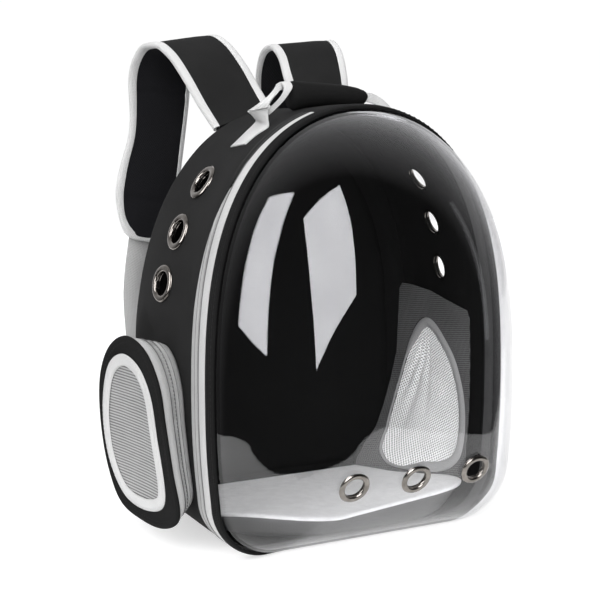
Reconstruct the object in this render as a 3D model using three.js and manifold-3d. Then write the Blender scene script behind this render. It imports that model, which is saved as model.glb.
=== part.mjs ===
// Pet carrier backpack: a soft arched body with a clear front dome, zipped side pockets with mesh
// windows, a carrying handle and two padded shoulder straps.
// Millimetres, +Z up. X runs across the bag, the dome faces -Y and the wearer's side is +Y.
// Pieces are made with the rim of the front opening in the plane Y = 0 and the floor at Z = 0.
import * as THREE from 'three';
import { mergeVertices } from 'three/addons/utils/BufferGeometryUtils.js';
import Module from 'manifold-3d';

const GAP = 0.3;
const WELD_DISTANCE = 1e-4;

// Arched outline of the rim, seen from the front
const RIM_HALF_WIDTH = 161;
const RIM_HEIGHT = 420;
const SHOULDER_Z = 135;
const ARCH_POWER_X = 2.12;
const ARCH_POWER_Z = 2.79;
const BASE_TAPER = 12;
const CORNER_RADIUS = 54;
const CORNER_STEPS = 5;
const SIDE_STEPS = 2;
const ARCH_STEPS = 11;

// Bands along the rim, from the dome back to the body wall
const BINDING_WIDTH = 15;
const BINDING_LEAN = 2.2;
const BAND_THICK = 2.5;
const TAPE_WIDTH = 14.5;
const COIL_WIDTH = 3.8;
const COIL_SINK = 0.8;
const HINGE_HALF_WIDTH = 42;

// Body wall and back
const WALL_THICK = 2.5;
const BODY_FRONT_Y = TAPE_WIDTH * 2 + COIL_WIDTH + GAP;
const WALL_SECTIONS = [
  { y: BODY_FRONT_Y + GAP, outerInset: 0, innerInset: WALL_THICK },
  { y: 156, outerInset: 0, innerInset: WALL_THICK },
  { y: 167, outerInset: 4, innerInset: 6.4 },
  { y: 173, outerInset: 10, innerInset: 12.2 },
  { y: 175.5, outerInset: 17, innerInset: 18 },
];
const BACK_SECTIONS = [
  { y: 171, scale: 1 },
  { y: 177, scale: 1 },
  { y: 180.5, scale: 0.94 },
  { y: 183, scale: 0.6 },
];

// Clear dome: outline rings shrink towards the centre as they come forward
const DOME_DEPTH = 120;
const DOME_THICK = 2;
const DOME_CENTRE_Z = 205;
const DOME_POWER = 3.07;
const DOME_ROOT = 1.53;
const DOME_RING_DEPTHS = [0, 0.17, 0.34, 0.5, 0.66, 0.81, 0.92, 0.98];

// Metal eyelets
const EYELET_SIDES = 12;
const EYELET_BORE_RADIUS = 9.5;
const EYELET_NECK_RADIUS = 10.6;
const EYELET_HOLE_RADIUS = 11.2;
const EYELET_HOLE_LENGTH = 30;
const EYELET_FLANGE_RADIUS = 15;
const EYELET_CROWN_RADIUS = 13.2;
const EYELET_CROWN_HEIGHT = 2.5;
const EYELET_LIP_HEIGHT = 1.6;
const EYELET_WASHER_RADIUS = 12.4;
const EYELET_WASHER_THICK = 1.2;
const SIDE_EYELET_CLEARANCE = 2;
const SIDE_EYELET_SCALE = 1.22;
const DOME_EYELET_CLEARANCE = 2.6;
const EYELET_PLACES = [
  { node: 'side_eyelet_top', y: 86, z: 347 },
  { node: 'side_eyelet_middle', y: 93.5, z: 299 },
  { node: 'side_eyelet_bottom', y: 100, z: 249 },
];
const DOME_EYELET_PLACES = [
  { node: 'dome_eyelet_left', x: -64, z: 85 },
  { node: 'dome_eyelet_middle', x: 0, z: 84 },
  { node: 'dome_eyelet_right', x: 64, z: 85 },
];

// Floor mat
const MAT_FRONT_RADIUS = 75;
const MAT_BACK_RADIUS = 40;
const MAT_CORNER_STEPS = 5;
const MAT_LEVELS = [
  { z: WALL_THICK + GAP, frontY: 9, backY: 153, round: 0 },
  { z: 7, frontY: 7, backY: 164, round: 0 },
  { z: 12, frontY: 6, backY: 168, round: 0 },
  { z: 18.5, frontY: 6, backY: 168, round: 0 },
  { z: 21, frontY: 6, backY: 168, round: 3 },
];

// Side pocket, on the -X side. The door lies in a leaning plane:
// distance from the middle = reach + leanBack * (y - y0) + leanUp * (z - z0)
const DOOR_PLANE = { reach: 175, leanBack: 0.15, leanUp: 0.09, y0: 25, z0: 40 };
const POCKET_ROWS = [
  { doorY: 92, doorZ: 201, wallY: 100, wallZ: 190 },
  { doorY: 128, doorZ: 188, wallY: 126, wallZ: 181 },
  { doorY: 156, doorZ: 157, wallY: 142, wallZ: 153 },
  { doorY: 168, doorZ: 112, wallY: 147, wallZ: 110 },
  { doorY: 164, doorZ: 60, wallY: 144, wallZ: 66 },
  { doorY: 145, doorZ: 27, wallY: 130, wallZ: 42 },
  { doorY: 104, doorZ: 18, wallY: 96, wallZ: 35 },
  { doorY: 58, doorZ: 21, wallY: 62, wallZ: 37 },
  { doorY: 30, doorZ: 38, wallY: 42, wallZ: 52 },
  { doorY: 34, doorZ: 80, wallY: 43, wallZ: 86 },
  { doorY: 38, doorZ: 124, wallY: 48, wallZ: 122 },
  { doorY: 42, doorZ: 162, wallY: 54, wallZ: 156 },
  { doorY: 60, doorZ: 190, wallY: 72, wallZ: 180 },
];
const POCKET_STEPS = 24;
const POCKET_WALL_GAP = 0.6;
const POCKET_BAND_THICK = 2;
const POCKET_BANDS = [
  { node: 'pocket_tape_inner', from: 0, to: 0.4 },
  { node: 'pocket_zip', from: 0.42, to: 0.57 },
  { node: 'pocket_tape_outer', from: 0.59, to: 1 },
];
const WALL_WINDOW_INSET = 9;
const WALL_WINDOW_DEPTH = 60;
const WALL_WINDOW_START = RIM_HALF_WIDTH + 10;
const DOOR_THICK = 2.5;
const DOOR_OVERHANG = 1.5;
const FRAME_ROWS = [
  { y: 104, z: 184 },
  { y: 136, z: 168 },
  { y: 160, z: 119 },
  { y: 158, z: 67 },
  { y: 132, z: 35 },
  { y: 80, z: 31 },
  { y: 51, z: 46 },
  { y: 52, z: 113 },
  { y: 57, z: 153 },
  { y: 74, z: 176 },
];
const FRAME_STEPS = 24;
const FRAME_WIDTH = 12;
const FRAME_LAP = 6;
const FRAME_THICK = 1.6;
const MESH_THICK = 1;
const LINING_FRONT_Y = 38;
const LINING_BACK_Y = 166;
const LINING_THICK = 1;
const LINING_CURVE = 1.4;
const LINING_BACK_ROWS = [
  { z: 20, x: 90 },
  { z: 42, x: 102 },
  { z: 63, x: 120 },
  { z: 91, x: 131 },
  { z: 120, x: 140 },
  { z: 148, x: 147 },
  { z: 226, x: 151 },
];
const LINING_ROWS = [
  { y: LINING_FRONT_Y, z: 21 },
  { y: LINING_BACK_Y, z: 21 },
  { y: LINING_BACK_Y, z: 70 },
  { y: LINING_BACK_Y, z: 120 },
  { y: LINING_BACK_Y, z: 170 },
  { y: LINING_BACK_Y, z: 224 },
  { y: 128, z: 226 },
  { y: 90, z: 221 },
  { y: 62, z: 213 },
  { y: LINING_FRONT_Y, z: 210 },
  { y: LINING_FRONT_Y, z: 130 },
  { y: LINING_FRONT_Y, z: 60 },
];
const TRIM_ROWS = [
  { y: 113, z: 192 },
  { y: 134, z: 180 },
  { y: 148, z: 154 },
  { y: 153, z: 123 },
  { y: 155, z: 95 },
  { y: 154, z: 66 },
  { y: 147, z: 42 },
  { y: 133, z: 29 },
  { y: 108, z: 26 },
  { y: 82, z: 27 },
  { y: 60, z: 34 },
  { y: 46, z: 50 },
  { y: 42, z: 74 },
  { y: 44, z: 102 },
  { y: 51, z: 128 },
  { y: 64, z: 154 },
  { y: 81, z: 173 },
  { y: 98, z: 186 },
];
const TRIM_WIDTH = 9;
const PULL_SIZE = { width: 8, length: 20, thick: 2.5, standoff: 2.2, curveSteps: 4 };

// Carrying handle, on top of the body
const GRIP_Y = 62;
const GRIP_SECTIONS = [
  { x: 44, high: 12, deep: 14 },
  { x: 41, high: 19, deep: 20 },
  { x: 32, high: 22.5, deep: 23 },
  { x: 0, high: 23.5, deep: 24 },
];
const GRIP_SIDES = 12;
const HANDLE_WEB_THICK = 2;
const HANDLE_ROWS = [
  { x: 97, y: 63.5, lift: 0.5, width: 26 },
  { x: 86, y: 62.5, lift: 0.6, width: 26 },
  { x: 75, y: 60, lift: 0.9, width: 26 },
  { x: 70, y: 58, lift: 8, width: 24 },
  { x: 73, y: 57, lift: 17, width: 22 },
  { x: 66, y: 57, lift: 21, width: 18 },
  { x: 56, y: 59, lift: 20.5, width: 14 },
  { x: 46.2, y: 62, lift: 17.5, width: 12 },
];

// Shoulder straps: middle line from the back of the body over the top and down, as distances from
// the middle of the bag, with the tilt and turn of the line across the strap in degrees
const STRAP_ROWS = {
  left: [
    { x: 49, y: 166, z: 410.6, tilt: 26, turn: 0 },
    { x: 52, y: 181, z: 428, tilt: 23, turn: 0 },
    { x: 58, y: 206, z: 459, tilt: 16, turn: 0 },
    { x: 65, y: 233, z: 484, tilt: 11, turn: 0 },
    { x: 71, y: 256, z: 494, tilt: 9, turn: 0 },
    { x: 78, y: 282, z: 488, tilt: 6, turn: 0 },
    { x: 84, y: 298, z: 466, tilt: 3, turn: 0 },
    { x: 87, y: 303, z: 430, tilt: 0, turn: 0 },
    { x: 93, y: 303, z: 390, tilt: 0, turn: 0 },
    { x: 100, y: 301, z: 350, tilt: 0, turn: 0 },
    { x: 107, y: 297, z: 310, tilt: 0, turn: 0 },
    { x: 114, y: 293, z: 276, tilt: 0, turn: 0 },
  ],
  right: [
    { x: 51, y: 166, z: 410.6, tilt: 26, turn: 0 },
    { x: 56, y: 181, z: 428, tilt: 15, turn: 8 },
    { x: 62, y: 205, z: 459, tilt: 3, turn: 15 },
    { x: 68, y: 230, z: 484, tilt: -3, turn: 18 },
    { x: 70, y: 252, z: 494, tilt: -5, turn: 18 },
    { x: 70, y: 278, z: 488, tilt: -4, turn: 14 },
    { x: 71, y: 295, z: 466, tilt: -2, turn: 9 },
    { x: 75, y: 303, z: 430, tilt: 0, turn: 5 },
    { x: 84, y: 303, z: 390, tilt: 0, turn: 2 },
    { x: 95, y: 301, z: 350, tilt: 0, turn: 0 },
    { x: 106, y: 297, z: 310, tilt: 0, turn: 0 },
    { x: 115, y: 293, z: 276, tilt: 0, turn: 0 },
  ],
};
const STRAP_WIDTH = 74;
const STRAP_THICK = 9;
const STRAP_STEPS = 20;
const STRAP_END_LENGTH = 32;
const STRAP_END_STEPS = 6;
const STRAP_END_ANGLE = 83;
const STRAP_END_POWER = 0.65;
const STRAP_PAD_SECTION = [
  { across: -1, out: -0.3 },
  { across: 0, out: -0.5 },
  { across: 1, out: -0.3 },
  { across: 1, out: 0.3 },
  { across: 0, out: 0.5 },
  { across: -1, out: 0.3 },
];
const STRAP_BINDING_WIDTH = 7;
const STRAP_BINDING_THICK = 6;

// Lower webbing of a shoulder strap and its slider
const WEB_THICK = 2;
const WEB_WIDTH = 26;
const WEB_STEPS = 16;
const WEB_SEWN_REACHES = [44, 26, 8];
const WEB_ROWS = [
  { x: 128, y: 278, z: 225 },
  { x: 138, y: 245, z: 180 },
  { x: 145, y: 210, z: 130 },
  { x: 146, y: 191, z: 92 },
  { x: 146, y: 181.5, z: 74 },
];
const SLIDER_SIZE = { width: 38, length: 24, thick: 4, bar: 4.5 };
const SLIDER_REACH = 20;

const COLOURS = {
  black: { color: 0x232426, roughness: 0.85, metalness: 0 },
  darkMesh: { color: 0x17181a, roughness: 0.95, metalness: 0 },
  grey: { color: 0xd4d5d2, roughness: 0.8, metalness: 0 },
  coil: { color: 0x7d7f7e, roughness: 0.5, metalness: 0 },
  white: { color: 0xededeb, roughness: 0.6, metalness: 0 },
  netting: { color: 0xb4b6b5, roughness: 0.8, metalness: 0 },
  mat: { color: 0xd9dadc, roughness: 0.95, metalness: 0 },
  nickel: { color: 0x8f8c86, roughness: 0.25, metalness: 1 },
  clear: { color: 0xeef2f4, roughness: 0.05, metalness: 0, transparent: true, opacity: 0.25 },
};

const wasm = await Module();
wasm.setup();

const carrier = new THREE.Group();

function addPiece(name, geometry, colour, mirrored = false) {
  const shape = mirrored ? mirror(geometry) : geometry;
  const mesh = new THREE.Mesh(shape, new THREE.MeshStandardMaterial(COLOURS[colour]));
  mesh.name = name;
  carrier.add(mesh);
  return mesh;
}

// A closed body from points and triangles, turned so that its faces point out
function solid(points, triangles) {
  let volume = 0;
  for (const [a, b, c] of triangles) {
    volume += points[a].dot(new THREE.Vector3().crossVectors(points[b], points[c]));
  }
  const faces = volume < 0 ? triangles.map(([a, b, c]) => [a, c, b]) : triangles;
  const geometry = new THREE.BufferGeometry().setFromPoints(points);
  geometry.setIndex(faces.flat());
  return geometry;
}

function bridge(triangles, first, second, count) {
  for (let i = 0; i < count; i += 1) {
    const next = (i + 1) % count;
    triangles.push([first + i, first + next, second + next], [first + i, second + next, second + i]);
  }
}

// Skin through closed rings, with the last ring joined back to the first
function loftLoop(rings) {
  const count = rings[0].length;
  const triangles = [];
  rings.forEach((_, i) => bridge(triangles, i * count, ((i + 1) % rings.length) * count, count));
  return solid(rings.flat(), triangles);
}

// Skin through closed rings, with each end closed by a fan about its middle
function loftCapped(rings) {
  const count = rings[0].length;
  const points = rings.flat();
  const triangles = [];
  for (let i = 0; i + 1 < rings.length; i += 1) {
    bridge(triangles, i * count, (i + 1) * count, count);
  }
  for (const [ring, start, flip] of [[rings[0], 0, true], [rings.at(-1), points.length - count, false]]) {
    const middle = points.push(ringMiddle(ring)) - 1;
    for (let i = 0; i < count; i += 1) {
      const pair = [start + i, start + ((i + 1) % count)];
      triangles.push(flip ? [middle, pair[1], pair[0]] : [middle, pair[0], pair[1]]);
    }
  }
  return solid(points, triangles);
}

function ringMiddle(ring) {
  const sum = new THREE.Vector3();
  ring.forEach((point) => sum.add(point));
  return sum.divideScalar(ring.length);
}

function toManifold(geometry) {
  const bare = geometry.clone();
  bare.deleteAttribute('normal');
  bare.deleteAttribute('uv');
  const merged = mergeVertices(bare, WELD_DISTANCE);
  return new wasm.Manifold(new wasm.Mesh({
    numProp: 3,
    vertProperties: new Float32Array(merged.attributes.position.array),
    triVerts: new Uint32Array(merged.index.array),
  }));
}

function cut(geometry, tools) {
  let body = toManifold(geometry);
  for (const tool of tools) {
    body = body.subtract(toManifold(tool));
  }
  const mesh = body.getMesh();
  const result = new THREE.BufferGeometry();
  result.setAttribute('position', new THREE.BufferAttribute(mesh.vertProperties, 3));
  result.setIndex(new THREE.BufferAttribute(mesh.triVerts, 1));
  return result;
}

function mirror(geometry) {
  const copy = geometry.clone().scale(-1, 1, 1);
  const source = copy.index ? [...copy.index.array] : [...Array(copy.attributes.position.count).keys()];
  const turned = [];
  for (let i = 0; i < source.length; i += 3) {
    turned.push(source[i], source[i + 2], source[i + 1]);
  }
  copy.setIndex(turned);
  return copy;
}

// Rim outline

function sideHalfWidth(z) {
  return RIM_HALF_WIDTH - BASE_TAPER * ((SHOULDER_Z - z) / SHOULDER_Z) ** 2;
}

function halfOutline() {
  const points = [];
  const cornerX = sideHalfWidth(CORNER_RADIUS) - CORNER_RADIUS;
  for (let i = 0; i <= CORNER_STEPS; i += 1) {
    const angle = (i / CORNER_STEPS) * Math.PI / 2;
    points.push(new THREE.Vector2(
      cornerX + CORNER_RADIUS * Math.sin(angle),
      CORNER_RADIUS * (1 - Math.cos(angle)),
    ));
  }
  for (let i = 1; i <= SIDE_STEPS; i += 1) {
    const z = CORNER_RADIUS + (SHOULDER_Z - CORNER_RADIUS) * i / SIDE_STEPS;
    points.push(new THREE.Vector2(sideHalfWidth(z), z));
  }
  for (let i = 1; i < ARCH_STEPS; i += 1) {
    const angle = (1 - i / ARCH_STEPS) * Math.PI / 2;
    points.push(new THREE.Vector2(
      RIM_HALF_WIDTH * Math.sin(angle) ** (2 / ARCH_POWER_X),
      SHOULDER_Z + (RIM_HEIGHT - SHOULDER_Z) * Math.cos(angle) ** (2 / ARCH_POWER_Z),
    ));
  }
  return points;
}

const RIGHT_HALF = halfOutline();
const RIM = [
  ...RIGHT_HALF,
  new THREE.Vector2(0, RIM_HEIGHT),
  ...RIGHT_HALF.toReversed().map((p) => new THREE.Vector2(-p.x, p.y)),
];

// Closed outline moved inwards by a distance; the points run anticlockwise
function inset(points, distance) {
  return points.map((point, i) => {
    const before = points.at(i - 1);
    const after = points[(i + 1) % points.length];
    const along = after.clone().sub(before).normalize();
    return new THREE.Vector2(point.x - along.y * distance, point.y + along.x * distance);
  });
}

function rimRing(y, distance, scale = 1) {
  return inset(RIM, distance).map((p) => new THREE.Vector3(
    p.x * scale,
    y,
    DOME_CENTRE_Z + (p.y - DOME_CENTRE_Z) * scale,
  ));
}

function archHeight(x) {
  const upper = RIM.filter((p) => p.y > SHOULDER_Z && p.x >= 0).sort((a, b) => a.x - b.x);
  const i = Math.max(1, upper.findIndex((p) => p.x >= Math.abs(x)));
  const share = (Math.abs(x) - upper[i - 1].x) / (upper[i].x - upper[i - 1].x);
  return THREE.MathUtils.lerp(upper[i - 1].y, upper[i].y, share);
}

// Half width of the outline at a height, moved inwards by a distance
function halfWidth(z, distance = 0) {
  const lower = inset(RIM, distance).slice(0, RIGHT_HALF.length);
  const i = Math.max(1, lower.findIndex((p) => p.y >= z));
  const share = (z - lower[i - 1].y) / (lower[i].y - lower[i - 1].y);
  return THREE.MathUtils.lerp(lower[i - 1].x, lower[i].x, share);
}

// Flat strip along a run of rim points, sunk below the outline and carried back along Y
function rimBand(points, frontY, backY, sink = 0) {
  const outer = inset(RIM, sink);
  const inner = inset(RIM, BAND_THICK);
  const shape = new THREE.Shape([
    ...points.map((i) => outer[i]),
    ...points.toReversed().map((i) => inner[i]),
  ]);
  return new THREE.ExtrudeGeometry(shape, { depth: backY - frontY, bevelEnabled: false })
    .rotateX(Math.PI / 2)
    .translate(0, backY, 0);
}

// Dome and its binding

function domeRing(depth, skin) {
  const scale = (1 - depth ** DOME_ROOT) ** (1 / DOME_POWER);
  const y = -(DOME_DEPTH - skin) * depth;
  return rimRing(y, BAND_THICK + GAP + skin, scale);
}

function domeShell() {
  const outer = DOME_RING_DEPTHS.map((depth) => domeRing(depth, 0));
  const inner = DOME_RING_DEPTHS.map((depth) => domeRing(depth, DOME_THICK));
  const geometry = loftCapped([...outer.toReversed(), ...inner]);
  const poles = geometry.attributes.position;
  poles.setXYZ(poles.count - 2, 0, -DOME_DEPTH, DOME_CENTRE_Z);
  poles.setXYZ(poles.count - 1, 0, -(DOME_DEPTH - DOME_THICK), DOME_CENTRE_Z);
  return geometry;
}

function domeBinding() {
  return loftLoop([
    rimRing(0, 0),
    rimRing(-BINDING_WIDTH, BINDING_LEAN),
    rimRing(-BINDING_WIDTH, BINDING_LEAN + BAND_THICK),
    rimRing(0, BAND_THICK),
  ]);
}

// Eyelets

function eyeletGeometry(wall, innerClearance, scale = 1) {
  const back = -wall - innerClearance;
  const profile = [
    [EYELET_BORE_RADIUS, EYELET_LIP_HEIGHT],
    [EYELET_BORE_RADIUS, back - EYELET_WASHER_THICK],
    [EYELET_WASHER_RADIUS, back - EYELET_WASHER_THICK],
    [EYELET_WASHER_RADIUS, back],
    [EYELET_NECK_RADIUS, back],
    [EYELET_NECK_RADIUS, GAP],
    [EYELET_FLANGE_RADIUS, GAP],
    [EYELET_CROWN_RADIUS, EYELET_CROWN_HEIGHT],
    [EYELET_NECK_RADIUS, EYELET_CROWN_HEIGHT],
    [EYELET_BORE_RADIUS, EYELET_LIP_HEIGHT],
  ];
  return new THREE.LatheGeometry(profile.map(([r, h]) => new THREE.Vector2(r * scale, h)), EYELET_SIDES);
}

function wallHit(geometry, origin, direction) {
  const target = new THREE.Mesh(geometry, new THREE.MeshBasicMaterial());
  return new THREE.Raycaster(origin, direction).intersectObject(target)[0];
}

function aimed(geometry, hit) {
  const turn = new THREE.Quaternion().setFromUnitVectors(new THREE.Vector3(0, 1, 0), hit.face.normal);
  return geometry.applyQuaternion(turn).translate(...hit.point.toArray());
}

function eyeletHole(hit, scale = 1) {
  const radius = EYELET_HOLE_RADIUS * scale;
  return aimed(new THREE.CylinderGeometry(radius, radius, EYELET_HOLE_LENGTH, EYELET_SIDES), hit);
}

// Body

function bodyWall() {
  const outer = WALL_SECTIONS.map((row) => rimRing(row.y, row.outerInset));
  const inner = WALL_SECTIONS.map((row) => rimRing(row.y, row.innerInset));
  return loftLoop([...outer, ...inner.toReversed()]);
}

function backPanel() {
  const edge = WALL_SECTIONS.at(-1).innerInset + GAP;
  return loftCapped(BACK_SECTIONS.map((row) => rimRing(row.y, edge, row.scale)));
}

function matRing(row) {
  const half = halfWidth(row.z, WALL_THICK + GAP) - row.round;
  const frontY = row.frontY + row.round;
  const backY = row.backY - row.round;
  const corners = [
    { x: half, y: frontY, radius: MAT_FRONT_RADIUS, start: -90 },
    { x: half, y: backY, radius: MAT_BACK_RADIUS, start: 0 },
    { x: -half, y: backY, radius: MAT_BACK_RADIUS, start: 90 },
    { x: -half, y: frontY, radius: MAT_FRONT_RADIUS, start: 180 },
  ];
  return corners.flatMap(({ x, y, radius, start }) => {
    const centreX = x - Math.sign(x) * radius;
    const centreY = y === frontY ? y + radius : y - radius;
    return Array.from({ length: MAT_CORNER_STEPS + 1 }, (_, i) => {
      const angle = THREE.MathUtils.degToRad(start + 90 * i / MAT_CORNER_STEPS);
      return new THREE.Vector3(
        centreX + radius * Math.cos(angle),
        centreY + radius * Math.sin(angle),
        row.z,
      );
    });
  });
}

// Side pocket

function smoothOutline(rows, steps) {
  const curve = new THREE.CatmullRomCurve3(rows.map(([y, z]) => new THREE.Vector3(y, z, 0)), true);
  const points = Array.from({ length: steps }, (_, i) => curve.getPoint(i / steps));
  const flat = points.map((p) => new THREE.Vector2(p.x, p.y));
  return THREE.ShapeUtils.isClockWise(flat) ? flat.reverse() : flat;
}

const DOOR_OUTLINE = smoothOutline(POCKET_ROWS.map((row) => [row.doorY, row.doorZ]), POCKET_STEPS);
const WALL_OUTLINE = smoothOutline(POCKET_ROWS.map((row) => [row.wallY, row.wallZ]), POCKET_STEPS);
const FRAME_OUTLINE = smoothOutline(FRAME_ROWS.map((row) => [row.y, row.z]), FRAME_STEPS);
const TRIM_OUTLINE = smoothOutline(TRIM_ROWS.map((row) => [row.y, row.z]), POCKET_STEPS);

function doorReach(y, z) {
  const { reach, leanBack, leanUp, y0, z0 } = DOOR_PLANE;
  return reach + leanBack * (y - y0) + leanUp * (z - z0);
}

// Ring of the pocket's gusset: share 0 is on the body wall and 1 is at the door
function pocketRing(share, distance) {
  const wall = inset(WALL_OUTLINE, distance);
  const door = inset(DOOR_OUTLINE, distance);
  return wall.map((start, i) => {
    const end = door[i];
    const from = halfWidth(start.y) + POCKET_WALL_GAP;
    return new THREE.Vector3(
      -THREE.MathUtils.lerp(from, doorReach(end.x, end.y), share),
      THREE.MathUtils.lerp(start.x, end.x, share),
      THREE.MathUtils.lerp(start.y, end.y, share),
    );
  });
}

function pocketBand({ from, to }) {
  return loftLoop([
    pocketRing(from, 0),
    pocketRing(to, 0),
    pocketRing(to, POCKET_BAND_THICK),
    pocketRing(from, POCKET_BAND_THICK),
  ]);
}

// Flat piece: an outline in Y and Z, with its inner face at a reach that depends on Y and Z
function sidePiece(outline, hole, reach, thick) {
  const shape = new THREE.Shape(outline);
  if (hole) {
    shape.holes.push(new THREE.Path(hole));
  }
  const geometry = new THREE.ExtrudeGeometry(shape, { depth: thick, bevelEnabled: false });
  const position = geometry.attributes.position;
  for (let i = 0; i < position.count; i += 1) {
    const y = position.getX(i);
    const z = position.getY(i);
    position.setXYZ(i, -(reach(y, z) + thick - position.getZ(i)), y, z);
  }
  return geometry;
}

function wallWindow() {
  const shape = new THREE.Shape(inset(WALL_OUTLINE, WALL_WINDOW_INSET));
  return new THREE.ExtrudeGeometry(shape, { depth: WALL_WINDOW_DEPTH, bevelEnabled: false })
    .applyMatrix4(new THREE.Matrix4().makeBasis(
      new THREE.Vector3(0, 1, 0),
      new THREE.Vector3(0, 0, 1),
      new THREE.Vector3(1, 0, 0),
    ))
    .translate(-WALL_WINDOW_START, 0, 0);
}

// Sheet inside the body wall: it leaves the wall at the front and cuts the lower back corner
function liningX(y, z) {
  const row = Math.max(1, LINING_BACK_ROWS.findIndex((r) => r.z >= z));
  const [low, high] = [LINING_BACK_ROWS[row - 1], LINING_BACK_ROWS[row]];
  const back = THREE.MathUtils.mapLinear(z, low.z, high.z, low.x, high.x);
  const front = halfWidth(z, WALL_THICK + GAP);
  const share = (y - LINING_FRONT_Y) / (LINING_BACK_Y - LINING_FRONT_Y);
  return THREE.MathUtils.lerp(front, back, share ** LINING_CURVE);
}

function zipPull() {
  const { width, length, thick, standoff, curveSteps } = PULL_SIZE;
  const radius = width / 2;
  const shape = new THREE.Shape()
    .absarc(0, length / 2 - radius, radius, 0, Math.PI, false)
    .absarc(0, radius - length / 2, radius, Math.PI, Math.PI * 2, false);
  const zip = POCKET_BANDS[1];
  const ring = pocketRing((zip.from + zip.to) / 2, 0);
  const back = ring.reduce((a, b) => (b.y > a.y ? b : a));
  return new THREE.ExtrudeGeometry(shape, { depth: thick, bevelEnabled: false, curveSegments: curveSteps })
    .rotateX(Math.PI / 2)
    .translate(back.x, back.y + thick + standoff, back.z);
}

// Handle

function gripGeometry() {
  const half = GRIP_SECTIONS.map((row) => ({ ...row, x: -row.x }));
  const rows = [...half, ...GRIP_SECTIONS.slice(0, -1).toReversed()];
  const baseZ = archHeight(0) + GAP;
  const tallest = GRIP_SECTIONS.at(-1).high;
  return loftCapped(rows.map(({ x, high, deep }) => Array.from({ length: GRIP_SIDES }, (_, i) => {
    const angle = (i / GRIP_SIDES) * Math.PI * 2;
    return new THREE.Vector3(
      x,
      GRIP_Y + (deep / 2) * Math.cos(angle),
      baseZ + tallest / 2 + (high / 2) * Math.sin(angle),
    );
  })));
}

// Flat ribbon through rows of { middle, across, width }
function ribbon(rows, thick) {
  return loftCapped(rows.map(({ middle, across, width }, i) => {
    const before = rows[Math.max(0, i - 1)].middle;
    const after = rows[Math.min(rows.length - 1, i + 1)].middle;
    const along = after.clone().sub(before).normalize();
    const side = across.clone().addScaledVector(along, -across.dot(along)).normalize();
    const face = new THREE.Vector3().crossVectors(along, side);
    return [[-1, -1], [1, -1], [1, 1], [-1, 1]].map(([u, v]) => middle.clone()
      .addScaledVector(side, u * width / 2)
      .addScaledVector(face, v * thick / 2));
  }));
}

function handleWeb() {
  const rows = HANDLE_ROWS.map(({ x, y, lift, width }) => ({
    middle: new THREE.Vector3(-x, y, archHeight(x) + HANDLE_WEB_THICK + lift),
    across: new THREE.Vector3(0, 1, 0),
    width,
  }));
  return ribbon(rows, HANDLE_WEB_THICK);
}

// Shoulder strap

// Strap laid along its rows: point() takes a share of the length, a distance across and one outwards
function strapCourse(rows) {
  const curve = new THREE.CatmullRomCurve3(rows.map(({ x, y, z }) => new THREE.Vector3(-x, y, z)));
  const angle = (name, place) => {
    const row = Math.min(rows.length - 2, Math.floor(place));
    return THREE.MathUtils.degToRad(
      THREE.MathUtils.lerp(rows[row][name], rows[row + 1][name], place - row),
    );
  };
  const axes = (share) => {
    const along = curve.getTangentAt(share);
    const place = curve.getUtoTmapping(share) * (rows.length - 1);
    const tilt = angle('tilt', place);
    const turn = angle('turn', place);
    const side = new THREE.Vector3(
      Math.cos(tilt) * Math.cos(turn),
      Math.cos(tilt) * Math.sin(turn),
      Math.sin(tilt),
    );
    side.addScaledVector(along, -side.dot(along)).normalize();
    return { along, side, face: new THREE.Vector3().crossVectors(side, along) };
  };
  const point = (share, across, out) => {
    const { side, face } = axes(share);
    return curve.getPointAt(share).addScaledVector(side, across).addScaledVector(face, out);
  };
  return { length: curve.getLength(), axes, point };
}

// Rows of { share, halfWidth } down one edge of the strap, with its rounded end
function strapEdge(course, distance) {
  const straight = 1 - STRAP_END_LENGTH / course.length;
  const rows = Array.from({ length: STRAP_STEPS + 1 }, (_, i) => ({
    share: straight * i / STRAP_STEPS,
    halfWidth: STRAP_WIDTH / 2 - distance,
  }));
  const endLength = STRAP_END_LENGTH - distance;
  for (let i = 1; i <= STRAP_END_STEPS; i += 1) {
    const angle = THREE.MathUtils.degToRad(STRAP_END_ANGLE * i / STRAP_END_STEPS);
    rows.push({
      share: straight + Math.sin(angle) * endLength / course.length,
      halfWidth: (STRAP_WIDTH / 2 - distance) * Math.cos(angle) ** STRAP_END_POWER,
    });
  }
  return rows;
}

function strapPad(course) {
  const edge = strapEdge(course, STRAP_BINDING_WIDTH + GAP);
  return loftCapped(edge.map((row) => STRAP_PAD_SECTION.map(
    ({ across, out }) => course.point(row.share, across * row.halfWidth, out * STRAP_THICK),
  )));
}

function strapBinding(course) {
  const outer = strapEdge(course, 0);
  const inner = strapEdge(course, STRAP_BINDING_WIDTH);
  const half = STRAP_BINDING_THICK / 2;
  const section = (side, i) => [
    course.point(outer[i].share, side * outer[i].halfWidth, -half),
    course.point(outer[i].share, side * outer[i].halfWidth, half),
    course.point(inner[i].share, side * inner[i].halfWidth, half),
    course.point(inner[i].share, side * inner[i].halfWidth, -half),
  ];
  const down = outer.map((_, i) => section(-1, i));
  const up = outer.map((_, i) => section(1, i)).reverse();
  return loftCapped([...down, ...up]);
}

function strapWeb(course) {
  const out = (STRAP_THICK + WEB_THICK) / 2 + GAP;
  const sewn = WEB_SEWN_REACHES.map((reach) => course.point(1 - reach / course.length, 0, out));
  const free = WEB_ROWS.map(({ x, y, z }) => new THREE.Vector3(-x, y, z));
  const rows = new THREE.CatmullRomCurve3([...sewn, ...free]).getPoints(WEB_STEPS).map((middle) => ({
    middle,
    across: new THREE.Vector3(1, 0, 0),
    width: WEB_WIDTH,
  }));
  return ribbon(rows, WEB_THICK);
}

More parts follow.
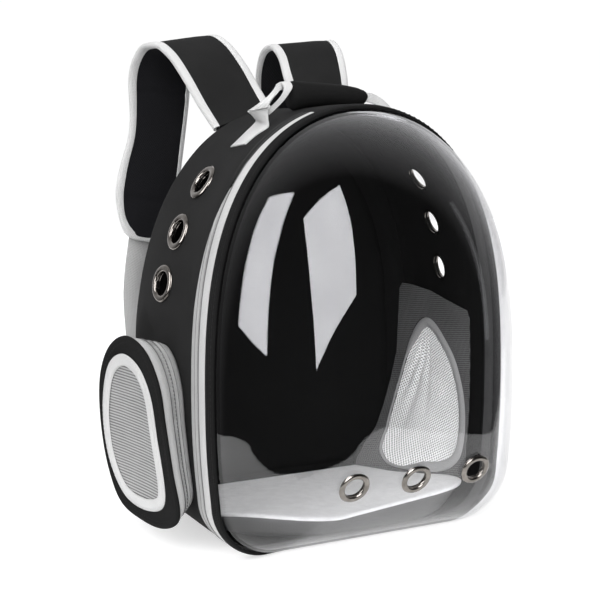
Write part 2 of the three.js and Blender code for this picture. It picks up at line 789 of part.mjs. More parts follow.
function strapSlider(course) {
  const { width, length, thick, bar } = SLIDER_SIZE;
  const frame = (w, l) => new THREE.Shape([
    new THREE.Vector2(-w / 2, -l / 2),
    new THREE.Vector2(w / 2, -l / 2),
    new THREE.Vector2(w / 2, l / 2),
    new THREE.Vector2(-w / 2, l / 2),
  ]);
  const shape = frame(width, length);
  shape.holes.push(frame(width - bar * 2, length - bar * 2));
  const share = 1 - SLIDER_REACH / course.length;
  const { side, along, face } = course.axes(share);
  const turn = new THREE.Matrix4()
    .makeBasis(side, along, face)
    .setPosition(course.point(share, 0, STRAP_THICK / 2 + WEB_THICK + GAP * 3));
  return new THREE.ExtrudeGeometry(shape, { depth: thick, bevelEnabled: false }).applyMatrix4(turn);
}

// Assembly

const wall = bodyWall();
const wallHits = EYELET_PLACES.map(({ y, z }) => wallHit(
  wall,
  new THREE.Vector3(-2 * RIM_HALF_WIDTH, y, z),
  new THREE.Vector3(1, 0, 0),
));
const sideCuts = [...wallHits.map((hit) => eyeletHole(hit, SIDE_EYELET_SCALE)), wallWindow()];
addPiece('body_wall', cut(wall, [...sideCuts, ...sideCuts.map(mirror)]), 'black');
addPiece('back_panel', backPanel(), 'black');
addPiece('floor_mat', loftCapped(MAT_LEVELS.map(matRing)), 'mat');

const shell = domeShell();
const domeHits = DOME_EYELET_PLACES.map(({ x, z }) => wallHit(
  shell,
  new THREE.Vector3(x, -2 * DOME_DEPTH, z),
  new THREE.Vector3(0, 1, 0),
));
addPiece('dome', cut(shell, domeHits.map((hit) => eyeletHole(hit))), 'clear');
addPiece('dome_binding', domeBinding(), 'black');

const ringOrder = RIM.map((_, i) => (i + RIGHT_HALF.length + 1) % RIM.length);
const zipPoints = ringOrder.filter((i) => RIM[i].y < SHOULDER_Z || Math.abs(RIM[i].x) > HINGE_HALF_WIDTH);
const hingePoints = RIM.map((_, i) => i).filter((i) => !zipPoints.includes(i));
const coilFrontY = TAPE_WIDTH + GAP;
const bodyTapeY = coilFrontY + COIL_WIDTH + GAP;
addPiece('zip_tape_dome', rimBand(zipPoints, GAP, TAPE_WIDTH), 'grey');
addPiece('zip_tape_body', rimBand(zipPoints, bodyTapeY, BODY_FRONT_Y), 'grey');
addPiece('zip_coil', rimBand(zipPoints, coilFrontY, bodyTapeY - GAP, COIL_SINK), 'coil');
addPiece('zip_hinge', rimBand(hingePoints, GAP, BODY_FRONT_Y), 'black');

domeHits.forEach((hit, i) => {
  const eyelet = eyeletGeometry(DOME_THICK, DOME_EYELET_CLEARANCE);
  addPiece(DOME_EYELET_PLACES[i].node, aimed(eyelet, hit), 'nickel');
});

for (const [side, mirrored] of [['left', false], ['right', true]]) {
  const add = (node, geometry, colour) => addPiece(`${node}_${side}`, geometry, colour, mirrored);
  wallHits.forEach((hit, i) => {
    const eyelet = eyeletGeometry(WALL_THICK, SIDE_EYELET_CLEARANCE, SIDE_EYELET_SCALE);
    add(EYELET_PLACES[i].node, aimed(eyelet, hit), 'nickel');
  });
  for (const band of POCKET_BANDS) {
    add(band.node, pocketBand(band), band.node === 'pocket_zip' ? 'coil' : 'grey');
  }
  const fromDoor = (offset) => (y, z) => doorReach(y, z) + offset;
  const doorOutline = inset(DOOR_OUTLINE, -DOOR_OVERHANG);
  const doorHole = inset(FRAME_OUTLINE, FRAME_LAP);
  add('pocket_door', sidePiece(doorOutline, doorHole, fromDoor(GAP), DOOR_THICK), 'black');
  const frameHole = inset(FRAME_OUTLINE, FRAME_WIDTH);
  const frameOffset = DOOR_THICK + GAP * 2;
  add('pocket_frame', sidePiece(FRAME_OUTLINE, frameHole, fromDoor(frameOffset), FRAME_THICK), 'white');
  const meshOutline = inset(FRAME_OUTLINE, FRAME_LAP + GAP);
  const meshOffset = frameOffset - GAP - MESH_THICK;
  add('pocket_mesh', sidePiece(meshOutline, null, fromDoor(meshOffset), MESH_THICK), 'netting');
  add('pocket_pull', zipPull(), 'black');

  const liningReach = (y, z) => liningX(y, z) - LINING_THICK;
  const liningOutline = LINING_ROWS.map(({ y, z }) => new THREE.Vector2(y, z));
  const trimHole = inset(TRIM_OUTLINE, TRIM_WIDTH);
  const screenOutline = inset(TRIM_OUTLINE, TRIM_WIDTH + GAP);
  const liningHole = inset(TRIM_OUTLINE, -GAP);
  add('pocket_lining', sidePiece(liningOutline, liningHole, liningReach, LINING_THICK), 'darkMesh');
  add('pocket_trim', sidePiece(TRIM_OUTLINE, trimHole, liningReach, LINING_THICK), 'grey');
  add('pocket_screen', sidePiece(screenOutline, null, liningReach, LINING_THICK), 'netting');

  add('handle_webbing', handleWeb(), 'grey');
  const course = strapCourse(STRAP_ROWS[side]);
  add('strap_pad', strapPad(course), 'darkMesh');
  add('strap_binding', strapBinding(course), 'grey');
  add('strap_webbing', strapWeb(course), 'grey');
  add('strap_slider', strapSlider(course), 'black');
}
addPiece('handle_grip', gripGeometry(), 'black');

// The origin is under the middle of the whole object, on the floor
const middle = new THREE.Box3().setFromObject(carrier).getCenter(new THREE.Vector3());
carrier.position.y = -middle.y;
carrier.updateMatrixWorld(true);

export default carrier;
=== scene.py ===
"""Looks of the pet carrier backpack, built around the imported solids.

Shapes are worked out in millimetres with the rim of the front opening in the plane y = 0, as the
solids are, and turned into metres in the row frame when a mesh is made.
"""
import bisect
import itertools
import math

import bmesh
import bpy
from mathutils import Matrix, Vector, noise


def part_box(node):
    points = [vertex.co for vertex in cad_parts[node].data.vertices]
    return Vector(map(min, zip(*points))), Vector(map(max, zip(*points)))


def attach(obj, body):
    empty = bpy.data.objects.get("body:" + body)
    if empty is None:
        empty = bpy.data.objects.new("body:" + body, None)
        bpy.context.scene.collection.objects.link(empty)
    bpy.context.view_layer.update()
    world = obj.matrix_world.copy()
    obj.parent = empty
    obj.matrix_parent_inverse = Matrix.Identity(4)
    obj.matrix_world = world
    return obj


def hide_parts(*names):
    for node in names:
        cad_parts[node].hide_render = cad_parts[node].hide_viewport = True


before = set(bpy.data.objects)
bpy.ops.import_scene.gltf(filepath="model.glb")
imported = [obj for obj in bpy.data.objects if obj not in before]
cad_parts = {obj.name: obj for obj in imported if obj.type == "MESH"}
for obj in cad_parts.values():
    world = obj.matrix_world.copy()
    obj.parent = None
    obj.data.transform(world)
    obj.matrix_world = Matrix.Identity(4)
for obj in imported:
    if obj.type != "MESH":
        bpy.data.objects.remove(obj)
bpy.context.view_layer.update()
GAP = 0.3
RIM_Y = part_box("zip_tape_dome")[0].y - GAP / 1000
SIDES = {"left": 1, "right": -1}

# Rim outline and the bands along it; a section holds (y, inset from the outline)
RIM_HALF_WIDTH = 161
RIM_HEIGHT = 420
SHOULDER_Z = 135
ARCH_POWER_X = 2.12
ARCH_POWER_Z = 2.79
BASE_TAPER = 12
CORNER_RADIUS = 54
RIM_STEPS = 240
BAND_THICK = 2.5
BAND_CROWN = 0.35
TAPE_WIDTH = 14.5
COIL_WIDTH = 3.8
TOOTH_PITCH = 1.9
ZIP_FOLD_Y = 23.5
HINGE_HALF_WIDTH = 42
BODY_FRONT = TAPE_WIDTH * 2 + COIL_WIDTH + GAP
BINDING_SECTION = [
    (-0.2, 1.4), (-0.6, 0.1), (-3, -0.35), (-6.5, 0.2), (-10, 1.1), (-12, 1.6), (-13, 2.6), (-12.7, 4.3),
    (-6.5, 3.4), (-0.2, 2.4),
]
SEAM_SECTION = [
    (163, 4.2), (167, 6), (171, 8.3), (173.3, 12.5), (173.8, 18), (173.2, 28), (172.2, 28), (172.6, 18),
    (172, 13), (170, 9.2), (166.4, 7), (163, 5.2),
]
STITCH_RADIUS = 0.3

# Body, floor mat and dome; the mat's corners are (side in x, side in y, radius in x, radius in y)
WALL_THICK = 2.5
WALL_TURN_Y = 156
WALL_BACK_Y = 175.5
WALL_BACK_INSET = 17
WALL_SWELL = 13
FLAP_ROWS = [(0, 33.4), (135, 33.4), (230, 31), (310, 24), (350, 18), (395, 9), (421, 7)]
FLAP_ROOT = 70
FLAP_THICK = 0.6
MAT_CURL = 12
MAT_CURL_WIDTH = 4
MAT_POINTS = 140
MAT_CORNERS = [(1, -1, 45, 32), (1, 1, 40, 40), (-1, 1, 40, 40), (-1, -1, 125, 62)]
MAT_LEVELS = [
    (2.9, 9, 153, 0.5), (5, 8, 160, 0.2), (7, 7, 164, 0), (12, 6, 168, 0), (17.5, 6, 168, 0.2),
    (19.6, 6, 168, 1.4), (20.6, 6, 168, 3.4),
]
DOME_DEPTH = 120
DOME_THICK = 2
DOME_CENTRE_Z = 205
DOME_MEAN_RADIUS = 180
DOME_POWER = 3.07
DOME_ROOT = 1.53

# Eyelets: places, and profiles of (radius, height); the washer's heights are below the wall
EYELETS = {"top": (86, 347), "middle": (93.5, 299), "bottom": (100, 249)}
DOME_EYELETS = {"left": (-64, 85), "middle": (0, 84), "right": (64, 85)}
EYELET_HOLE = 11.2
EYELET_HOLE_LENGTH = 30
SIDE_EYELET_SCALE = 1.22
FLANGE_PROFILE = [
    (9.5, 0.8), (9.6, -0.8), (10.6, -0.8), (10.6, 0.3), (14.8, 0.3), (15, 0.8), (14.6, 1.5), (13.6, 2.2),
    (12.2, 2.5), (10.9, 2.3), (10.0, 1.7),
]
WASHER_PROFILE = [(10.3, 0), (10.3, -0.8), (11.8, -0.8), (12.4, -0.4), (12.2, 0)]

# Side pocket on the left: outlines of the door, the gusset on the wall and the window's frame, as (y, z)
DOOR_ROWS = [
    (92, 201), (128, 188), (156, 157), (168, 112), (164, 60), (145, 27), (104, 18),
    (58, 21), (30, 38), (34, 80), (38, 124), (42, 162), (60, 190),
]
WALL_ROWS = [
    (100, 190), (126, 181), (142, 153), (147, 110), (144, 66), (130, 42), (96, 35),
    (62, 37), (42, 52), (43, 86), (48, 122), (54, 156), (72, 180),
]
FRAME_ROWS = [
    (104, 184), (136, 168), (160, 119), (158, 67), (132, 35), (80, 31), (51, 46),
    (52, 113), (57, 153), (74, 176),
]
DOOR_REACH = 175
DOOR_LEAN = (0.15, 0.09)
DOOR_BASE = (25, 40)
DOOR_OUT = Vector((-1, *DOOR_LEAN)).normalized()
WALL_WINDOW_INSET = 9
WALL_WINDOW_CUT = (12, -48)
ZIP_SHARE = 0.495

# Sections of the door and the frame, as (inset of the outline, offset from the door's plane)
FRAME_WIDTH = 12
DOOR_SECTION = [(-1.5, 0.4), (-2.1, 1.6), (-1.7, 3.0), (-0.2, 3.9), (1.8, 3.7), (3.2, 2.9), (6, 2.9)]
DOOR_HOLE_SECTION = [(-1.5, 2.8), (5, 2.6), (5, 0.4)]
FRAME_SECTION = [
    (0, 3.1), (0.3, 4.2), (2, 4.8), (6, 5.0),
    (FRAME_WIDTH - 2, 4.7), (FRAME_WIDTH - 0.3, 4.1), (FRAME_WIDTH, 3.1),
]
NET_LAP = 6.5

# Lining inside the cabin, with the trim round its screen
LINING_FRONT_Y = 38
LINING_BACK_Y = 166
LINING_FOOT_Z = 21
LINING_FAR = 400
LINING_BACK_ROWS = [(20, 90), (42, 102), (63, 120), (91, 131), (120, 140), (148, 147), (226, 151)]
LINING_TOP_ROWS = [(38, 207), (60, 208), (85, 216), (105, 223), (128, 226.5), (166, 226)]
TRIM_ROWS = [
    (110, 192.5), (122, 191), (135, 180), (148, 154), (153, 123), (155, 95), (154, 66), (147, 42), (133, 29),
    (108, 26), (82, 27), (60, 34), (46, 50), (42, 74), (44, 102), (51, 128), (64, 154), (81, 173), (97, 187),
]
TRIM_WIDTH = 9
TRIM_SECTION = [(0, 0.2), (0.6, 1.5), (TRIM_WIDTH / 2, 2.0), (TRIM_WIDTH - 0.6, 1.5), (TRIM_WIDTH, 0.2)]
SCREEN_TOP = Vector((114, 190))
SCREEN_CREASES = [(0.58, 0.06, 3.6), (0.38, 0.06, 4.0), (0.18, 0.06, 3.4), (-0.06, 0.05, 1.6)]

# Handle: webbing bands as rows of a point on each edge, and grip stations of x, low z, high z and depth
GRIP_Y = 62
GRIP_STATIONS = [
    (-44, 424, 440, 14), (-42, 418, 443, 20), (-38, 415, 444, 23), (-25, 418, 443.4, 24),
    (0, 420, 442.2, 24), (18, 419, 441, 23), (32, 419, 438.5, 21), (40, 422, 436, 17), (44, 426, 433.5, 11),
]
HANDLE_BANDS = {
    "left": [
        [
            ((-98, 76, 0), (-95, 48, 0)), ((-85, 75, 0), (-84.7, 45, 0)),
            ((-72, 74, 404.7), (-75.4, 40, 397.5)), ((-78.7, 64, 409.2), (-74.4, 42, 406.9)),
            ((-89, 56, 414), (-72.1, 46, 417.1)),
        ],
        [
            ((-89.9, 54, 414.5), (-73.1, 44, 417.4)), ((-79.8, 50, 421.5), (-71.6, 44, 420.9)),
            ((-70.7, 50, 427.7), (-67.4, 46, 425.9)), ((-62.9, 55, 434), (-60.2, 52, 430.2)),
            ((-54.7, 60, 440.5), (-52.4, 58, 434.8)), ((-44, 62, 439), (-42, 62, 433)),
        ],
        [
            ((-73, 50, 414), (-70, 48, 411)), ((-70.3, 47, 417.6), (-66.1, 46, 414.9)),
            ((-63.7, 46, 423.3), (-56.5, 46, 423.5)), ((-57, 48, 430), (-48.5, 48, 431.6)),
            ((-52, 53, 436.5), (-42.8, 53, 437.6)), ((-52, 60, 441.5), (-43, 60, 442.5)),
            ((-56, 62, 439), (-46, 66, 441)),
        ],
    ],
    "right": [
        [
            ((36, 62, 436), (36, 60, 424)), ((41.6, 58, 433.6), (42.7, 56, 424)),
            ((48.5, 56, 432.2), (49.7, 54, 421.5)), ((58.9, 56, 426.4), (60, 50, 418)),
            ((72, 60, 417), (70, 48, 406)), ((84, 70, 404), (80, 45, 398)), ((98, 76, 0), (95, 48, 0)),
        ],
    ],
}
RIBBON_SECTION = [
    (-1, 0.2), (-0.96, 0.5), (0, 0.56), (0.96, 0.5), (1, 0.2),
    (1, -0.2), (0.96, -0.5), (0, -0.56), (-0.96, -0.5), (-1, -0.2),
]

# Shoulder straps: rows of x, y, z, tilt and turn, as in the solids
STRAP_ROWS = {
    "left": [
        (49, 166, 410.6, 26, 0), (52, 181, 428, 23, 0), (58, 206, 459, 16, 0), (65, 233, 484, 11, 0),
        (71, 256, 494, 9, 0), (78, 282, 488, 6, 0), (84, 298, 466, 3, 0), (87, 303, 430, 0, 0),
        (93, 303, 390, 0, 0), (100, 301, 350, 0, 0), (107, 297, 310, 0, 0), (114, 293, 276, 0, 0),
    ],
    "right": [
        (51, 166, 410.6, 26, 0), (56, 181, 428, 15, 8), (62, 205, 459, 3, 15), (68, 230, 484, -3, 18),
        (70, 252, 494, -5, 18), (70, 278, 488, -4, 14), (71, 295, 466, -2, 9), (75, 303, 430, 0, 5),
        (84, 303, 390, 0, 2), (95, 301, 350, 0, 0), (106, 297, 310, 0, 0), (115, 293, 276, 0, 0),
    ],
}
COURSE_STEPS = 1200
STRAP_WIDTH = 74
STRAP_THICK = 9
STRAP_END = 32
STRAP_END_ANGLE = 83
STRAP_END_POWER = 0.65
STRAP_TUCK = 5
STRAP_STEPS = 90
STRAP_END_STEPS = 22
STRAP_ACROSS = 17
STRAP_BINDING = 8.5
STRAP_SEAMS = (440, 322)
STRAP_SEEDS = {"left": 1.0, "right": 6.0}
WEB_ROWS = [(128, 278, 225), (138, 245, 180), (145, 210, 130), (146, 191, 92), (146, 181.5, 74)]
WEB_SEWN = (44, 26, 8)
WEB_WIDTH = 26
WEB_THICK = 2
SLIDER_REACH = 20
BUCKLE_HALF = (17, 10)

# Stage, lights and camera
LIGHT_PANELS = {
    "left_softbox": (8.0, [(-1380, 490, 1470), (-1290, -70, 1760), (-1970, -250, 20), (-1870, 580, 200)]),
    "front_softbox": (
        8.0, [(-1440, -640, 1540), (-560, -910, 2130), (-260, -2080, 430), (-1310, -1660, -110)],
    ),
    "back_strip": (2.6, [(-20, 1560, 1640), (-20, 1370, 1840), (1170, 1130, 1520), (1290, 1250, 1220)]),
    "side_strip": (1.0, [(1440, -700, 0), (1480, -600, 0), (1480, -600, 1150), (1440, -700, 1150)]),
}
SUNS = {"soft_sky": ((-350, -500, 800), 2.2), "soft_fill": ((-400, -900, 420), 1.9)}
SUN_ANGLE = 110
KEY_PLACE = (-1700, -500, 1000)
KEY_AIM = (0, 60, 220)
KEY_ENERGY = 13
BRIGHT_WAY = (0.42, 0.82, 0.39)
TABLE_EDGE = [
    (420, -190), (294, -237), (239, -260), (160, -285), (111, -400), (14, -385), (-55, -290), (-186, -268),
    (-301, -230), (-365, -130), (-419, -72), (-490, -15), (-543, 19), (-566, 70), (-572, 132), (-560, 195),
    (-533, 249), (-500, 420),
]
TABLE_FAR = [(-460, 4000), (4000, 4000), (4000, 900)]
CAMERA_PLACE = (-570.4, -996.1, 384.3)
CAMERA_ANGLES = (-26.985, 7.419, -0.395)
FOCAL_PIXELS = 1206.55
IMAGE_WIDTH = 600


# Curves

def catmull(points, place, closed=False):
    """Centripetal curve through points; place counts points from the first."""
    n = len(points)
    i = int(math.floor(place))
    if not closed:
        i = min(i, n - 2)
    w = place - i

    def at(k):
        if closed:
            return points[k % n]
        if k < 0:
            return points[0] * 2 - points[1]
        if k >= n:
            return points[-1] * 2 - points[-2]
        return points[k]

    p0, p1, p2, p3 = (at(i + k) for k in (-1, 0, 1, 2))
    d0, d1, d2 = ((b - a).length ** 0.5 or 1 for a, b in ((p0, p1), (p1, p2), (p2, p3)))
    t1 = ((p1 - p0) / d0 - (p2 - p0) / (d0 + d1) + (p2 - p1) / d1) * d1
    t2 = ((p2 - p1) / d1 - (p3 - p1) / (d1 + d2) + (p3 - p2) / d2) * d1
    return p1 + t1 * w + (p2 * 3 - p1 * 3 - t1 * 2 - t2) * w ** 2 + (p1 * 2 - p2 * 2 + t1 + t2) * w ** 3


def distances(line):
    """Distance along a polyline at each of its points."""
    return list(itertools.accumulate(((b - a).length for a, b in zip(line, line[1:])), initial=0.0))


def locate(reach, want):
    """Number of the span that holds a distance, and the share of the span before it."""
    i = min(max(bisect.bisect_right(reach, want) - 1, 0), len(reach) - 2)
    return i, (want - reach[i]) / ((reach[i + 1] - reach[i]) or 1)


def even(points, count, closed=False):
    """The polyline's points, spaced evenly along it."""
    line = list(points) + ([points[0]] if closed else [])
    reach = distances(line)
    spans = count if closed else count - 1
    result = []
    for k in range(count):
        i, share = locate(reach, reach[-1] * k / spans)
        result.append(line[i].lerp(line[i + 1], share))
    return result


def smooth_path(points, count):
    """An even path of count points through the rows."""
    dense = [catmull(points, (len(points) - 1) * i / (count * 4)) for i in range(count * 4 + 1)]
    return even(dense, count)


def smooth_loop(rows, count=96):
    points = [Vector(row) for row in rows]
    dense = [catmull(points, len(points) * i / (count * 4), True) for i in range(count * 4)]
    loop = even(dense, count, True)
    return loop if loop_area(loop) > 0 else loop[::-1]


def loop_area(loop):
    return sum(a.x * b.y - b.x * a.y for a, b in zip(loop, loop[1:] + loop[:1])) / 2


def inset(loop, distance):
    """A closed anticlockwise loop moved inwards."""
    n = len(loop)
    result = []
    for i, p in enumerate(loop):
        along = (loop[(i + 1) % n] - loop[i - 1]).normalized()
        result.append(Vector((p.x - along.y * distance, p.y + along.x * distance)))
    return result


def circle(middle, a, b, radius, count):
    """Ring round a point; a and b give its plane."""
    turns = [2 * math.pi * k / count for k in range(count)]
    return [middle + (a * math.cos(t) + b * math.sin(t)) * radius for t in turns]


def rounded_square(count, power):
    """Outline between a circle and a square, as (x, y) from -1 to 1."""
    result = []
    for k in range(count):
        t = 2 * math.pi * k / count
        result.append([math.copysign(abs(v) ** power, v) for v in (math.cos(t), math.sin(t))])
    return result


def flipped(points, sign):
    """The points, or their mirror image on the right side."""
    return [Vector((p.x * sign, p.y, p.z)) for p in points]


def lookup(rows, value):
    """Straight-line reading of a table of (key, result)."""
    for (k0, r0), (k1, r1) in zip(rows, rows[1:]):
        if value <= k1:
            break
    return r0 + (r1 - r0) * (value - k0) / (k1 - k0)


def ripple(p, size, seed=0.0):
    """Smooth noise from -1 to 1 with the given size in millimetres."""
    return noise.noise(Vector((p[0] / size + seed, p[1] / size - seed * 0.7, p[2] / size + 3.1 * seed)))


def ease(low, high, value):
    t = min(max((value - low) / (high - low), 0.0), 1.0)
    return t * t * (3 - 2 * t)


def side_half_width(z):
    return RIM_HALF_WIDTH - BASE_TAPER * ((SHOULDER_Z - z) / SHOULDER_Z) ** 2


def rim_outline():
    """Outline of the rim as (x, z), anticlockwise from the middle of the bottom."""
    corner_x = side_half_width(CORNER_RADIUS) - CORNER_RADIUS
    half = [(corner_x * i / 40, 0) for i in range(40)]
    for i in range(25):
        angle = math.pi / 2 * i / 24
        half.append((corner_x + CORNER_RADIUS * math.sin(angle), CORNER_RADIUS * (1 - math.cos(angle))))
    for i in range(1, 13):
        z = CORNER_RADIUS + (SHOULDER_Z - CORNER_RADIUS) * i / 12
        half.append((side_half_width(z), z))
    for i in range(1, 121):
        angle = math.pi / 2 * (1 - i / 120)
        x = RIM_HALF_WIDTH * math.sin(angle) ** (2 / ARCH_POWER_X)
        half.append((x, SHOULDER_Z + (RIM_HEIGHT - SHOULDER_Z) * math.cos(angle) ** (2 / ARCH_POWER_Z)))
    other = [(-x, z) for x, z in half[-2:0:-1]]
    return even([Vector(p) for p in half + other], RIM_STEPS, True)


RIM = rim_outline()
DOOR_LOOP, WALL_LOOP, FRAME_LOOP, TRIM_LOOP = map(smooth_loop, (DOOR_ROWS, WALL_ROWS, FRAME_ROWS, TRIM_ROWS))


def rim_ring(y, distance, scale=1.0):
    rise = DOME_CENTRE_Z
    return [Vector((p.x * scale, y, rise + (p.y - rise) * scale)) for p in inset(RIM, distance)]


def rim_loop(section):
    """Rings along the whole rim for a section of (y, inset)."""
    return [rim_ring(y, d) for y, d in section]


def rim_run(section, keep):
    """Cross sections along the rim points whose numbers are in keep."""
    columns = rim_loop(section)
    return [[ring[i] for ring in columns] for i in keep]


def rim_path(y, distance, keep):
    """Points along the rim, with their outward normals."""
    ring = rim_ring(y, distance)
    outs = [(a - b).normalized() for a, b in zip(rim_ring(y, 0), rim_ring(y, 5))]
    return [ring[i] for i in keep], [outs[i] for i in keep]


def half_width(z, distance=0.0):
    loop = inset(RIM, distance)[: RIM_STEPS // 2 + 1]
    for a, b in zip(loop, loop[1:]):
        if a.y <= z <= b.y and b.y > a.y:
            return a.x + (b.x - a.x) * (z - a.y) / (b.y - a.y)
    return loop[-1].x


def arch_height(x):
    loop = RIM[: RIM_STEPS // 2 + 1]
    for a, b in zip(loop, loop[1:]):
        if b.y > SHOULDER_Z and b.x <= abs(x) <= a.x:
            return a.y + (b.y - a.y) * (a.x - abs(x)) / ((a.x - b.x) or 1)
    return RIM_HEIGHT


# Meshes

def plain(row, column):
    """The first material, wherever the face is."""
    return 0


class Shape:
    """Vertices in millimetres, with faces, texture coordinates in millimetres and material numbers."""

    def __init__(self):
        self.verts, self.faces, self.uvs, self.mats = [], [], [], []

    def skin(self, rings, loop=False, mat=plain):
        """Faces between rings of one size; a loop also joins the last ring to the first."""
        start, n = len(self.verts), len(rings[0])
        self.verts += [p for ring in rings for p in ring]
        middle = rings[len(rings) // 2]
        us = distances(middle + middle[:1])
        vs = distances([ring[0] for ring in rings + rings[:1]])
        for r in range(len(rings) if loop else len(rings) - 1):
            low, high = start + r * n, start + (r + 1) % len(rings) * n
            for i in range(n):
                j = (i + 1) % n
                self.faces.append((low + i, low + j, high + j, high + i))
                self.uvs.append(tuple((us[i + a], vs[r + b]) for a, b in ((0, 0), (1, 0), (1, 1), (0, 1))))
                self.mats.append(mat(r, i))
        return start

    def fan(self, first, count, mat):
        """Closes a ring that starts at vertex first."""
        ring = self.verts[first:first + count]
        middle = sum(ring, Vector((0, 0, 0))) / count
        self.verts.append(middle)
        for i in range(count):
            j = (i + 1) % count
            self.faces.append((first + i, first + j, len(self.verts) - 1))
            self.uvs.append(tuple((p.x + p.y, p.z) for p in (ring[i], ring[j], middle)))
            self.mats.append(mat)

    def tube(self, rings, mat=plain):
        start, n = self.skin(rings, mat=mat), len(rings[0])
        for r in (0, len(rings) - 1):
            self.fan(start + r * n, n, mat(0, 0))

    def lay_flat(self):
        """Takes the texture coordinates from the side view."""
        self.uvs = [tuple((self.verts[i].y, self.verts[i].z) for i in face) for face in self.faces]

    def mirrored(self, sign):
        self.verts = flipped(self.verts, sign)
        return self


def tubed(rings, mat=plain):
    """Shape with both ends closed."""
    shape = Shape()
    shape.tube(rings, mat)
    return shape


def looped(rings, mat=plain):
    """Shape whose last ring joins the first."""
    shape = Shape()
    shape.skin(rings, True, mat)
    return shape


def metres(p):
    """A point of the rim's frame in the row frame."""
    return Vector((p[0] / 1000, p[1] / 1000 + RIM_Y, p[2] / 1000))


def link(name, data):
    obj = bpy.data.objects.new(name, data)
    bpy.context.scene.collection.objects.link(obj)
    return obj


def make(name, shape, materials, sharp=40):
    mesh = bpy.data.meshes.new(name)
    mesh.from_pydata([metres(p) for p in shape.verts], [], shape.faces)
    layer = mesh.uv_layers.new(name="UVMap")
    layer.data.foreach_set("uv", [c / 1000 for face in shape.uvs for uv in face for c in uv])
    mesh.polygons.foreach_set("material_index", shape.mats)
    for material in materials:
        mesh.materials.append(material)
    bm = bmesh.new()
    bm.from_mesh(mesh)
    bmesh.ops.remove_doubles(bm, verts=bm.verts, dist=1e-6)
    bmesh.ops.recalc_face_normals(bm, faces=bm.faces)
    bm.to_mesh(mesh)
    bm.free()
    return smoothed(link(name, mesh), sharp)


def smoothed(obj, sharp=40):
    obj.data.shade_smooth()
    obj.data.set_sharp_from_angle(angle=math.radians(sharp))
    return obj


def settle(obj):
    """Applies the object's modifiers."""
    graph = bpy.context.evaluated_depsgraph_get()
    mesh = bpy.data.meshes.new_from_object(obj.evaluated_get(graph))
    obj.modifiers.clear()
    old = obj.data
    obj.data = mesh
    bpy.data.meshes.remove(old)


def cut(obj, cutters, sharp=40):
    for cutter in cutters:
        modifier = obj.modifiers.new("cut", "BOOLEAN")
        modifier.operation = "DIFFERENCE"
        modifier.solver = "EXACT"
        modifier.object = cutter
    settle(obj)
    for cutter in cutters:
        bpy.data.objects.remove(cutter)
    return smoothed(obj, sharp)


def dress(obj, slot, *nodes):
    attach(obj, "root")
    if nodes:
        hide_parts(*nodes)
    return obj


def add_piece(name, shape, materials, slot, *nodes, sharp=60):
    return dress(make(name, shape, materials, sharp), slot, *nodes)


def add_side(side, name, shape, materials, slot, *nodes, sharp=60):
    """A piece that is shaped for the left side, put on one side."""
    nodes = [f"{node}_{side}" for node in nodes]
    return add_piece(f"{name}_{side}", shape.mirrored(SIDES[side]), materials, slot, *nodes, sharp=sharp)


def puffed(obj, voxel, pressure, cap):
    """Swells a padded piece with a cloth simulation, moving no point further than cap."""
    remesh = obj.modifiers.new("remesh", "REMESH")
    remesh.mode = "VOXEL"
    remesh.voxel_size = voxel
    settle(obj)
    rest = [v.co.copy() for v in obj.data.vertices]
    cloth = obj.modifiers.new("cloth", "CLOTH")
    cloth.settings.quality = 6
    cloth.settings.use_pressure = True
    cloth.settings.uniform_pressure_force = pressure
    cloth.settings.effector_weights.gravity = 0
    scene = bpy.context.scene
    for step in range(1, 21):
        scene.frame_set(step)
    settle(obj)
    for v, start in zip(obj.data.vertices, rest):
        move = v.co - start
        if move.length > cap:
            v.co = start + move.normalized() * cap
    scene.frame_set(1)
    smoothed(obj, 80)


# Materials

